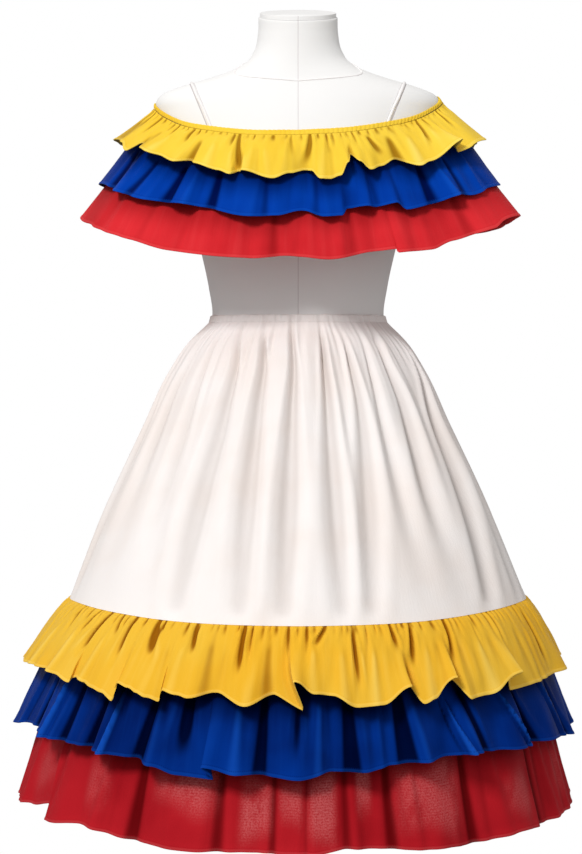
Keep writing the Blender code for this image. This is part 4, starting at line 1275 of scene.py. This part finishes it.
def tube_piece(name, loop, radius, material, slot, sides=8):
    """A closed tube along a loop of points, lying on the form."""
    ahead = np.roll(loop, -1, axis=0) - np.roll(loop, 1, axis=0)
    ahead /= np.linalg.norm(ahead, axis=1, keepdims=True)
    away = np.cross(ahead, loop - loop.mean(axis=0))
    away /= np.linalg.norm(away, axis=1, keepdims=True)
    other = np.cross(away, ahead)
    angles = np.radians(turns_round(sides))
    rings = [loop + radius * (math.cos(a) * away + math.sin(a) * other) for a in angles]
    points = np.array(rings).reshape(-1, 3)
    index = np.arange(len(points)).reshape(sides, len(loop))
    right = np.roll(index, -1, axis=1)
    below = np.roll(index, -1, axis=0)
    corner = np.roll(right, -1, axis=0)
    faces = np.stack([index, below, corner, right], axis=-1).reshape(-1, 4)
    first = points[faces[0]]
    normal = np.cross(first[1] - first[0], first[3] - first[0])
    if np.dot(normal, first[0] - loop[0]) < 0:
        faces = faces[:, ::-1]
    return mesh_piece(name, points, faces, material, slot)


def armhole_loop(side):
    """The armhole seam's loop, proud of the form above the neckline and flush below it."""
    angle = np.radians(turns_round(ARMHOLE_COLUMNS))
    height = ARMHOLE_MIDDLE + ARMHOLE_RISE * np.cos(angle)
    half_width, front, back = body_size(height)
    depth = np.where(np.sin(angle) < 0, front, back)
    low = ARMHOLE_DEPTH * np.abs(np.sin(angle)) ** ARMHOLE_BEND
    line = ARMHOLE_OUT + ARMHOLE_LEAN * (height - ARMHOLE_MIDDLE)
    straight = depth * np.sqrt(np.clip(1 - (line / half_width) ** 2, 0, 1))
    y = np.sign(np.sin(angle)) * (low + (straight - low) * ease(height, *ARMHOLE_STRAIGHTENS))
    inside = np.clip(1 - (y / depth) ** 2, 0, 1)
    sunk = ARMHOLE_SUNK * (1 - ease(height, *ARMHOLE_RISES))
    x = half_width * np.sqrt(inside) - sunk
    return np.stack([side * x, y, height], axis=-1)


class Amount:
    """A number from a shader socket. Python sums on it add Math nodes."""

    def __init__(self, finish, socket):
        self.finish = finish
        self.socket = socket

    def _math(self, operation, *others):
        node = self.finish.add("ShaderNodeMath", {"operation": operation})
        for place, value in zip(node.inputs, (self, *others)):
            self.finish.feed(place, value)
        return Amount(self.finish, node.outputs[0])

    def _reflected(self, operation, other):
        node = self.finish.add("ShaderNodeMath", {"operation": operation})
        self.finish.feed(node.inputs[0], other)
        self.finish.feed(node.inputs[1], self)
        return Amount(self.finish, node.outputs[0])

    def __add__(self, other):
        return self._math("ADD", other)

    __radd__ = __add__

    def __sub__(self, other):
        return self._math("SUBTRACT", other)

    def __rsub__(self, other):
        return self._reflected("SUBTRACT", other)

    def __mul__(self, other):
        return self._math("MULTIPLY", other)

    __rmul__ = __mul__

    def __truediv__(self, other):
        return self._math("DIVIDE", other)

    def __neg__(self):
        return self._math("MULTIPLY", -1.0)

    def wave(self, length):
        """A sine that repeats after a length."""
        return (self * (2 * math.pi / length))._math("SINE")

    def size(self):
        return self._math("ABSOLUTE")

    def near(self, full, none):
        """1 within full of 0 on either side, and 0 beyond none."""
        return 1 - self.size().eased(full, none)

    def root(self):
        return self._math("SQRT")

    def most(self, other):
        return self._math("MAXIMUM", other)

    def eased(self, low, high, start=0.0, end=1.0):
        """start below low, end above high, and smooth between."""
        node = self.finish.add("ShaderNodeMapRange", {"interpolation_type": "SMOOTHSTEP"})
        self.finish.feed(node.inputs["Value"], self)
        node.inputs["From Min"].default_value = low
        node.inputs["From Max"].default_value = high
        node.inputs["To Min"].default_value = start
        node.inputs["To Max"].default_value = end
        return Amount(self.finish, node.outputs["Result"])


class Finish:
    """A material being made: nodes are added by their type, settings and socket values."""

    def __init__(self, name, roughness=0.6, metallic=0.0):
        self.material = bpy.data.materials.new(name)
        self.material.use_nodes = True
        self.nodes = self.material.node_tree.nodes
        self.links = self.material.node_tree.links
        self.shader = self.nodes["Principled BSDF"]
        self.shader.inputs["Roughness"].default_value = roughness
        self.shader.inputs["Metallic"].default_value = metallic

    def add(self, kind, settings=None, **values):
        node = self.nodes.new(kind)
        for name, value in (settings or {}).items():
            setattr(node, name, value)
        for name, value in values.items():
            self.feed(node.inputs[name.replace("_", " ")], value)
        return node

    def feed(self, place, value):
        if isinstance(value, Amount):
            value = value.socket
        if isinstance(value, bpy.types.NodeSocket):
            self.links.new(value, place)
        else:
            place.default_value = value

    def noise(self, vector, scale, detail=3.0, roughness=0.5):
        node = self.add("ShaderNodeTexNoise", Vector=vector, Scale=scale, Detail=detail,
                        Roughness=roughness)
        return Amount(self, node.outputs["Fac"])

    def grain(self, vector, scales, detail=3.0, roughness=0.6):
        """Noise with a scale of its own along each direction."""
        node = self.add("ShaderNodeVectorMath", {"operation": "MULTIPLY"})
        self.feed(node.inputs[0], vector)
        self.feed(node.inputs[1], scales)
        return self.noise(node.outputs["Vector"], 1.0, detail, roughness)

    def parts(self, vector):
        node = self.add("ShaderNodeSeparateXYZ", Vector=vector)
        return [Amount(self, socket) for socket in node.outputs]

    def place(self):
        return self.add("ShaderNodeTexCoord").outputs["Object"]

    def cloth_place(self):
        """Metres along the cloth, down it from its seam, and up from its hem."""
        return self.add("ShaderNodeAttribute", {"attribute_name": "cloth"}).outputs["Vector"]

    def kept(self, name):
        """A number kept at each point of the mesh."""
        node = self.add("ShaderNodeAttribute", {"attribute_name": name})
        return Amount(self, node.outputs["Fac"])

    def mix(self, factor, one, other):
        node = self.add("ShaderNodeMix", {"data_type": "RGBA"})
        self.feed(node.inputs[0], factor)
        self.feed(node.inputs[6], one)
        self.feed(node.inputs[7], other)
        return node.outputs[2]

    def bump(self, height, strength, distance):
        node = self.add("ShaderNodeBump", Height=height, Strength=strength, Distance=distance)
        return node.outputs["Normal"]

    def blend(self, factor, one, other):
        """One shader for another, by a factor."""
        node = self.add("ShaderNodeMixShader")
        for place, value in zip(node.inputs, (factor, one, other)):
            self.feed(place, value)
        return node.outputs[0]

    def use(self, name, value):
        self.feed(self.shader.inputs[name], value)


def opaque(colour):
    return (colour[0], colour[1], colour[2], 1.0)


def dimmed(colour, part):
    """A part of a colour's brightness."""
    return opaque([c * part for c in colour])


def crepe_finish(name, colour, pale, deep, look, sheer):
    """Soft crepe: fine weave, light crinkle, stitches, painted shade in creases, painted paler
    crests and hem.
    """
    finish = Finish(name, look.rough)
    cloth = finish.cloth_place()
    along, down, up = finish.parts(cloth)

    clouds = finish.noise(finish.place(), 7.0, 3.0, 0.55)
    shade = finish.mix(clouds.eased(0.35, 0.70), opaque(colour), opaque(deep))
    if not sheer:
        streaks = finish.grain(cloth, (90.0, 7.0, 0.0))
        shade = finish.mix(streaks.eased(0.45, 0.80) * 0.09, shade, opaque(pale))
    # Painted shade in the hollows, in a darker colour made from the deep one, and a painted
    # highlight on the crests
    dip = finish.kept("dip")
    dark = opaque([c * c * 0.4 for c in deep])
    shade = finish.mix(dip.eased(0.05, 0.9) * look.hollow, shade, dark)
    shade = finish.mix((-dip).eased(0.28, 0.90) * look.crest, shade, opaque(pale))
    # Painted shadow in the band just below the hem of the ruffle that covers this one
    if look.under:
        below = finish.kept("under")
        shade = finish.mix(below.eased(-0.004, 0.040, look.under, 0.0), shade, dark)
    hem = 1 - up.eased(*HEM_BAND)
    stitches = along.wave(STITCH_APART).eased(-0.4, 0.2)
    stitches = stitches * (up - STITCHES_UP).near(0.0003, 0.0009)
    # A painted highlight along the rolled hem, and the stitches above it
    shade = finish.mix(hem * (0.10 if sheer else 0.22), shade, opaque(pale))
    shade = finish.mix(stitches * 0.5, shade, opaque(deep))

    # Painted light where light comes through the sheer cloth, which is also made a little
    # see-through there
    if sheer:
        uneven = finish.grain(cloth, (30.0, 18.0, 0.0))
        crinkles = finish.grain(cloth, (420.0, 420.0, 0.0), roughness=0.7)
        threads = down.wave(CRINKLE_APART).eased(-0.6, 0.6)
        through = finish.kept("through") * uneven.eased(0.30, 0.52, 0.35, 1.0)
        through = through * (0.20 + 0.62 * crinkles.eased(0.38, 0.62) + 0.18 * threads)
        shade = finish.mix(through * 0.52, shade, opaque(pale))
        finish.use("Alpha", 1 - 0.12 * through * (1 - hem))
    finish.use("Base Color", shade)

    fine = finish.grain(cloth, (900.0, 300.0, 0.0), detail=2.0)
    weave = along.wave(WEAVE_APART) * down.wave(WEAVE_APART)
    crimps = finish.grain(cloth, (260.0, 60.0, 0.0))
    surface = crimps * 0.8 + fine * 0.35 + weave * 0.05 - stitches * 0.5
    finish.use("Normal", finish.bump(surface, 0.35, 0.0012))
    finish.use("Roughness", look.rough - 0.10 + 0.20 * fine)
    finish.use("Sheen Weight", look.sheen)
    finish.use("Sheen Roughness", 0.45)
    finish.use("Specular IOR Level", 0.03)
    finish.use("Specular Tint", opaque(pale))
    return finish.material


def cover_finish(name, colour, line):
    """The form's tight plain-weave cover, its seams as fine stitched lines, painted shadow by the
    armhole piping.
    """
    finish = Finish(name, 0.78)
    here = finish.place()
    x, y, z = finish.parts(here)
    clouds = finish.noise(here, 5.0, 3.0, 0.5)
    shade = finish.mix(clouds.eased(0.3, 0.8) * 0.5, opaque(colour), dimmed(colour, 0.93))

    centre = x.near(0.0003, 0.0011) * (1 - z.eased(1.462, 1.466))
    line_out = (z - ARMHOLE_MIDDLE) * ARMHOLE_LEAN + ARMHOLE_OUT
    off = (x.size() - line_out) / math.hypot(1, ARMHOLE_LEAN)
    plate = z.eased(1.283, 1.287)
    # Painted shadow lines either side of the armhole piping, along its joints
    inner = (off - INNER_SHADOW_LINE_OFF).near(0.0004, 0.0011) * plate
    outer = (off - OUTER_SHADOW_LINE_OFF).near(0.0002, 0.0007) * plate
    side = y.near(0.0003, 0.0011) * x.size().eased(0.05, 0.07) * (1 - z.eased(1.36, 1.37))
    for seam, strength, part in (
        (centre, 0.35, 1.0), (inner, 0.65, 0.75), (outer, 0.45, 1.0), (side, 0.4, 1.0),
    ):
        shade = finish.mix(seam * strength, shade, dimmed(line, part))
    finish.use("Base Color", shade)

    weave = x.wave(COVER_WEAVE_APART) * z.wave(COVER_WEAVE_APART)
    slub = finish.grain(here, (250.0, 250.0, 900.0), 2.0, 0.5)
    seams = centre.most(inner).most(outer).most(side)
    finish.use("Normal", finish.bump(weave * 0.12 + slub * 0.4 - seams, 0.3, 0.0008))
    finish.use("Roughness", 0.74 + 0.10 * slub)
    finish.use("Sheen Weight", 0.15)
    return finish.material


def piping_finish(name, colour):
    """The form's narrow piping: a twisted cord under a bias strip."""
    finish = Finish(name, 0.7)
    twist = finish.noise(finish.place(), 420.0, 2.0, 0.6)
    shade = finish.mix(twist.eased(0.3, 0.7) * 0.4, opaque(colour), dimmed(colour, 0.86))
    finish.use("Base Color", shade)
    finish.use("Normal", finish.bump(twist, 0.3, 0.0005))
    return finish.material


def metal_finish(name, colour, rough):
    """Brushed metal with fine turned lines and a few duller clouds."""
    finish = Finish(name, rough, 1.0)
    here = finish.place()
    lines = finish.grain(here, (30.0, 30.0, 900.0))
    clouds = finish.noise(here, 9.0, 4.0, 0.6)
    shade = finish.mix(clouds.eased(0.3, 0.75) * 0.5, opaque(colour), dimmed(colour, 0.82))
    finish.use("Base Color", shade)
    finish.use("Roughness", rough - 0.05 + 0.14 * lines + 0.06 * clouds)
    finish.use("Normal", finish.bump(lines, 0.08, 0.0003))
    return finish.material


def floor_finish(colour, bounce):
    """A pale floor that fades, away from the dress, into the white background.

    Only the camera sees it pale: it sends less light back up, as a darker floor would.
    """
    finish = Finish("pale_floor", 0.85)
    here = finish.place()
    x, y, _ = finish.parts(here)
    grain = finish.noise(here, 3.0, 3.0, 0.5)
    shade = finish.mix(grain.eased(0.3, 0.7) * 0.5, opaque(colour), dimmed(colour, 0.985))
    finish.use("Base Color", shade)
    glow = finish.add("ShaderNodeEmission", Color=(1.0, 1.0, 1.0, 1.0), Strength=1.0)
    dull = finish.add("ShaderNodeBsdfDiffuse", Color=(bounce, bounce, bounce, 1.0))
    path = finish.add("ShaderNodeLightPath")
    away = (x * x + y * y).root().eased(*FLOOR_FADES)
    pale = finish.blend(away, finish.shader.outputs[0], glow.outputs[0])
    surface = finish.blend(path.outputs["Is Camera Ray"], dull.outputs[0], pale)
    finish.feed(finish.nodes["Material Output"].inputs["Surface"], surface)
    return finish.material


def colour_property(name, description, default):
    return bpy.props.FloatVectorProperty(
        name=name, description=description, default=default, subtype="COLOR",
        size=3, min=0.0, max=1.0,
    )


def length_property(name, description, default, low, high):
    return bpy.props.FloatProperty(
        name=name, description=description, default=default, min=low, max=high,
        unit="LENGTH", precision=4,
    )


class DressColours(bpy.types.PropertyGroup):
    """Colours of the cloths, the form and the stand."""

    # The pale colours also paint highlights on crests and hems; the deep ones, darkened, paint
    # shade
    yellow: colour_property("Yellow", "The top's outermost ruffle", (0.86, 0.58, 0.050))
    yellow_pale: colour_property("Pale yellow", "Hems and streaks", (0.98, 0.79, 0.20))
    yellow_deep: colour_property("Deep yellow", "Darker clouds", (0.81, 0.51, 0.032))
    # The skirt's yellow: the top's yellow darkened, as painted shade
    golden: colour_property("Golden", "The skirt's outermost ruffle", (0.80, 0.475, 0.041))
    golden_pale: colour_property("Pale golden", "Hems and streaks", (1.0, 0.76, 0.19))
    golden_deep: colour_property("Deep golden", "Darker clouds", (0.80, 0.43, 0.026))
    blue: colour_property("Blue", "The middle ruffles", (0.001, 0.045, 0.36))
    blue_pale: colour_property("Pale blue", "Hems and streaks", (0.006, 0.085, 0.50))
    blue_deep: colour_property("Deep blue", "Darker clouds", (0.001, 0.030, 0.27))
    # The skirt's blue: the top's blue darkened, as painted shade
    navy: colour_property("Navy", "The skirt's middle ruffle", (0.001, 0.028, 0.23))
    navy_pale: colour_property("Pale navy", "Hems and streaks", (0.006, 0.070, 0.42))
    navy_deep: colour_property("Deep navy", "Darker clouds", (0.001, 0.013, 0.12))
    red: colour_property("Red", "The top's lowest ruffle", (0.66, 0.025, 0.032))
    red_pale: colour_property("Pale red", "Hems and streaks", (0.80, 0.10, 0.10))
    red_deep: colour_property("Deep red", "Darker clouds", (0.54, 0.016, 0.022))
    # The skirt's sheer red: darker than the top's red, as painted shade
    sheer: colour_property("Sheer red", "The skirt's lowest ruffle", (0.45, 0.012, 0.019))
    sheer_pale: colour_property("Pale sheer red", "Light through it", (0.85, 0.20, 0.20))
    sheer_deep: colour_property("Deep sheer red", "Darker clouds", (0.36, 0.008, 0.014))
    cream: colour_property("Cream", "The skirt's panel", (0.89, 0.845, 0.825))
    cream_pale: colour_property("Pale cream", "Streaks", (0.95, 0.92, 0.905))
    cream_deep: colour_property("Deep cream", "Darker clouds", (0.86, 0.785, 0.745))
    cover: colour_property("Cover", "The form's cover", (0.84, 0.83, 0.82))
    # Also the colour of the painted shadow lines beside the armhole piping
    seam_and_shadow_line: colour_property("Seam line", "The form's seams", (0.42, 0.34, 0.36))
    piping: colour_property("Piping", "The form's piping", (0.88, 0.85, 0.84))
    metal: colour_property("Metal", "The stand", (0.62, 0.62, 0.63))


class DressSizes(bpy.types.PropertyGroup):
    """Sizes of the fine parts."""

    rib_depth: length_property("Rib depth", "The casings' shirring", 0.0009, 0.0, 0.002)
    neck_rib: length_property("Neck rib", "From rib to rib at the neckline", 0.0058, 0.003, 0.02)
    waist_rib: length_property("Waist rib", "From rib to rib at the waist", 0.0075, 0.003, 0.02)
    hem_wave: length_property("Hem wave", "Depth of the small folds at a hem", 0.0030, 0.0, 0.01)
    piping_radius: length_property("Neck piping", "Its radius", 0.0012, 0.0005, 0.004)
    armhole_piping: length_property("Armhole piping", "Its radius", 0.0024, 0.0005, 0.004)


class StageSettings(bpy.types.PropertyGroup):
    """Camera, lights and floor."""

    camera_distance: length_property("Camera distance", "From the middle", 2.91, 0.5, 20)
    camera_side: length_property("Camera side", "How far to the side", -0.01015, -1, 1)
    camera_height: length_property("Camera height", "Above the floor", 0.9646, 0, 3)
    lens: bpy.props.FloatProperty(
        name="Lens", description="Focal length in millimetres", default=84.6, min=10, max=300
    )
    tilt: bpy.props.FloatProperty(
        name="Tilt", description="The camera's angle from straight down",
        default=math.radians(88.316), subtype="ANGLE",
    )
    key: bpy.props.FloatProperty(
        name="Key light", description="Power of the large light, in watts", default=292.0
    )
    fill: bpy.props.FloatProperty(
        name="Fill light", description="Power of the weak light, in watts", default=4.0
    )
    surround: bpy.props.FloatProperty(
        name="Surround", description="Strength of the even light from all round", default=0.56
    )
    floor: colour_property("Floor", "The pale floor", (0.90, 0.90, 0.90))
    bounce: bpy.props.FloatProperty(
        name="Bounce", description="How much light the floor sends back up", default=0.3,
        min=0.0, max=1.0,
    )


def cloth_finishes(colours):
    """The cloths as (material, slot), made once and found again by name."""
    made = {}
    for name, look in CLOTH_LOOKS.items():
        title = f"{name}_cloth"
        material = bpy.data.materials.get(title)
        if material is None:
            shades = [getattr(colours, name + ending) for ending in ("", "_pale", "_deep")]
            material = crepe_finish(title, *shades, look, name == "sheer")
        made[name] = (material, look.slot)
    return made


class DRESS_OT_make_form(bpy.types.Operator):
    """Make the dress form: its covered torso, its piped seams and its neck cap"""

    bl_idname = "ruffled_dress.make_form"
    bl_label = "Make the dress form"

    def execute(self, context):
        colours = context.scene.dress_colours
        sizes = context.scene.dress_sizes
        cover = cover_finish("form_cover_weave", colours.cover, colours.seam_and_shadow_line)
        piping = piping_finish("form_piping", colours.piping)

        turn = turns_round(BODY_COLUMNS)
        heights = np.linspace(NECK_TOP, BODY[0].height, BODY_ROWS)
        rings = [slanted(oval(turn, *body_size(height), height)) for height in heights]
        rings[0][:, 2] -= BODY_RIM_DROP
        neck = body_size(np.array(NECK_TOP))
        rim = [
            slanted(oval(turn, *[size * share for size in neck], NECK_TOP - drop))
            for share, drop in BODY_RIM
        ]
        rings = rim + rings
        capped_piece("form_body_cover", rings, cover, "form_cover", ["form_body"])

        last = BODY[-1]
        outline = rounded_profile([
            (CAP_MIDDLE, CAP_THICKNESS), (CAP_SHARE, CAP_THICKNESS),
            (CAP_SHARE, 0.0), (CAP_MIDDLE, 0.0),
        ], CAP_ROUNDING)
        rings = []
        for share, rise in outline:
            ring = oval(turn, last.half_width * share, last.front * share, last.back * share, 0)
            ring[:, 2] += NECK_TOP + SEAM_GAP + rise + NECK_SLANT * ring[:, 1] / last.front
            rings.append(ring)
        capped_piece("form_neck_cover", rings, cover, "form_cover", ["form_neck_cap"])

        turn = turns_round(NECK_PIPING_COLUMNS)
        height = level_at(NECK_PIPING, turn)
        loop = oval(turn, *body_size(height), height)
        tube_piece("form_neck_piping", loop, sizes.piping_radius, piping, "form_cover")
        for side, name in ((1, "left"), (-1, "right")):
            loop = armhole_loop(side)
            tube_piece(f"form_armhole_piping_{name}", loop, sizes.armhole_piping, piping,
                       "form_cover")
        return {"FINISHED"}


class DRESS_OT_make_stand(bpy.types.Operator):
    """Make the stand: its flat round base, its collar and its pole"""

    bl_idname = "ruffled_dress.make_stand"
    bl_label = "Make the stand"

    def execute(self, context):
        metal = metal_finish("stand_brushed", context.scene.dress_colours.metal, 0.26)
        radius, _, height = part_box("stand_base")[1]
        base = rounded_profile([
            (AXIS_RADIUS, 0.0), (radius, 0.0), (radius, BASE_EDGE), (0.9 * radius, BASE_SHOULDER),
            (0.6 * radius, 0.8 * height), (0.35 * radius, height), (AXIS_RADIUS, height),
        ], BASE_ROUNDING)
        turned_piece("stand_round_base", base, metal, "stand_metal", ["stand_base"], BASE_COLUMNS)
        foot, top = [corner.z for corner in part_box("stand_pole")]
        collar = foot + COLLAR_HEIGHT
        pole = rounded_profile([
            (AXIS_RADIUS, foot), (COLLAR_RADIUS, foot), (COLLAR_RADIUS, collar - COLLAR_BEVEL),
            (0.8 * COLLAR_RADIUS, collar), (POLE_RADIUS, collar), (POLE_RADIUS, top),
            (AXIS_RADIUS, top),
        ], POLE_ROUNDING)
        turned_piece("stand_round_pole", pole, metal, "stand_metal", ["stand_pole"], POLE_COLUMNS)
        return {"FINISHED"}


class DRESS_OT_make_panel(bpy.types.Operator):
    """Make the skirt's cream panel with its gathers and long soft folds"""

    bl_idname = "ruffled_dress.make_panel"
    bl_label = "Make the skirt panel"

    def execute(self, context):
        material, slot = cloth_finishes(context.scene.dress_colours)["cream"]
        grid, layers = panel_surface()
        piece = shell_piece("skirt_panel", grid, CLOTH, layers, material, slot)
        return {"FINISHED"}


class DRESS_OT_make_casings(bpy.types.Operator):
    """Make the two shirred elastic casings, at the neckline and the waist"""

    bl_idname = "ruffled_dress.make_casings"
    bl_label = "Make the casings"

    def execute(self, context):
        sizes = context.scene.dress_sizes
        finishes = cloth_finishes(context.scene.dress_colours)
        neck_casing(sizes.neck_rib, sizes.rib_depth, finishes["yellow"])
        waist_casing(sizes.waist_rib, sizes.rib_depth, finishes["cream"])
        return {"FINISHED"}


class DRESS_OT_make_skirt_ruffles(bpy.types.Operator):
    """Make the skirt's red, blue and yellow ruffles, the innermost first"""

    bl_idname = "ruffled_dress.make_skirt_ruffles"
    bl_label = "Make the skirt ruffles"

    def execute(self, context):
        finishes = cloth_finishes(context.scene.dress_colours)
        wave = context.scene.dress_sizes.hem_wave * 1000
        make_ruffle_group(
            SKIRT_RUFFLES, skirt_ring, SKIRT_SWAY, SKIRT_SEAM_PULL, wave, finishes
        )
        return {"FINISHED"}


class DRESS_OT_make_top_ruffles(bpy.types.Operator):
    """Make the top's red, blue and yellow ruffles, the innermost first"""

    bl_idname = "ruffled_dress.make_top_ruffles"
    bl_label = "Make the top ruffles"

    def execute(self, context):
        finishes = cloth_finishes(context.scene.dress_colours)
        wave = context.scene.dress_sizes.hem_wave * 1000 * TOP_HEM_WAVE
        make_ruffle_group(TOP_RUFFLES, casing_foot, 0.0, TOP_SEAM_PULL, wave, finishes)
        return {"FINISHED"}


def area_light(light, power):
    """A square light that faces the middle of the dress."""
    data = bpy.data.lights.new(light.name, "AREA")
    data.shape = "SQUARE"
    data.size = light.size
    data.energy = power
    lamp = bpy.data.objects.new(light.name, data)
    lamp.location = light.place
    toward = Vector(LIT_MIDDLE) - Vector(light.place)
    lamp.rotation_euler = toward.to_track_quat("-Z", "Y").to_euler()
    bpy.context.scene.collection.objects.link(lamp)


def white_surround(strength):
    """Even light from all round, which the camera sees as plain white."""
    world = bpy.data.worlds.new("studio")
    world.use_nodes = True
    nodes, links = world.node_tree.nodes, world.node_tree.links
    nodes.clear()
    seen = nodes.new("ShaderNodeBackground")
    seen.inputs["Strength"].default_value = 1.0
    seen.inputs["Color"].default_value = (1.0, 1.0, 1.0, 1.0)
    lit = nodes.new("ShaderNodeBackground")
    lit.inputs["Strength"].default_value = strength
    lit.inputs["Color"].default_value = (1.0, 0.995, 0.985, 1.0)
    path = nodes.new("ShaderNodeLightPath")
    blend = nodes.new("ShaderNodeMixShader")
    output = nodes.new("ShaderNodeOutputWorld")
    links.new(path.outputs["Is Camera Ray"], blend.inputs[0])
    links.new(lit.outputs[0], blend.inputs[1])
    links.new(seen.outputs[0], blend.inputs[2])
    links.new(blend.outputs[0], output.inputs["Surface"])
    bpy.context.scene.world = world


class DRESS_OT_make_stage(bpy.types.Operator):
    """Make the floor, the lights and the camera"""

    bl_idname = "ruffled_dress.make_stage"
    bl_label = "Make the stage"

    def execute(self, context):
        stage = context.scene.dress_stage
        turn = turns_round(FLOOR_COLUMNS)
        rings = [oval(turn, radius, radius, radius, 0.0) for radius in FLOOR_RINGS]
        points = np.concatenate([*rings, [[0.0, 0.0, 0.0]]])
        faces = ring_faces(len(rings), FLOOR_COLUMNS, inside_out=True).tolist()
        middle = len(points) - 1
        faces += [(middle, k, (k + 1) % FLOOR_COLUMNS) for k in range(FLOOR_COLUMNS)]
        mesh = bpy.data.meshes.new("studio_floor")
        mesh.from_pydata(points, [], faces)
        mesh.materials.append(floor_finish(stage.floor, stage.bounce))
        floor = bpy.data.objects.new("studio_floor", mesh)
        context.scene.collection.objects.link(floor)

        area_light(KEY_LIGHT, stage.key)
        area_light(FILL_LIGHT, stage.fill)
        white_surround(stage.surround)

        data = bpy.data.cameras.new("photo_view")
        data.lens = stage.lens
        data.sensor_width = 36.0
        camera = bpy.data.objects.new("photo_view", data)
        camera.location = (stage.camera_side, -stage.camera_distance, stage.camera_height)
        camera.rotation_euler = (stage.tilt, 0.0, 0.0)
        context.scene.collection.objects.link(camera)
        context.scene.camera = camera
        context.scene.view_settings.view_transform = "Standard"
        return {"FINISHED"}


OPERATORS = (
    DRESS_OT_make_stage,
    DRESS_OT_make_stand,
    DRESS_OT_make_form,
    DRESS_OT_make_casings,
    DRESS_OT_make_panel,
    DRESS_OT_make_skirt_ruffles,
    DRESS_OT_make_top_ruffles,
)


class DRESS_PT_panel(bpy.types.Panel):
    """The dress's settings and the operators that make it"""

    bl_label = "Ruffled dress"
    bl_idname = "DRESS_PT_panel"
    bl_space_type = "VIEW_3D"
    bl_region_type = "UI"
    bl_category = "Dress"

    def draw(self, context):
        layout = self.layout
        for group in (context.scene.dress_colours, context.scene.dress_sizes,
                      context.scene.dress_stage):
            box = layout.box()
            for name in group.__annotations__:
                box.prop(group, name)
        for operator in OPERATORS:
            layout.operator(operator.bl_idname)


CLASSES = (DressColours, DressSizes, StageSettings, *OPERATORS, DRESS_PT_panel)


def register():
    for item in CLASSES:
        bpy.utils.register_class(item)
    bpy.types.Scene.dress_colours = bpy.props.PointerProperty(type=DressColours)
    bpy.types.Scene.dress_sizes = bpy.props.PointerProperty(type=DressSizes)
    bpy.types.Scene.dress_stage = bpy.props.PointerProperty(type=StageSettings)


def unregister():
    del bpy.types.Scene.dress_stage
    del bpy.types.Scene.dress_sizes
    del bpy.types.Scene.dress_colours
    for item in reversed(CLASSES):
        bpy.utils.unregister_class(item)


def main():
    register()
    bpy.ops.ruffled_dress.make_stage()
    bpy.ops.ruffled_dress.make_stand()
    bpy.ops.ruffled_dress.make_form()
    bpy.ops.ruffled_dress.make_casings()
    bpy.ops.ruffled_dress.make_panel()
    bpy.ops.ruffled_dress.make_skirt_ruffles()
    bpy.ops.ruffled_dress.make_top_ruffles()


if __name__ == "__main__":
    main()
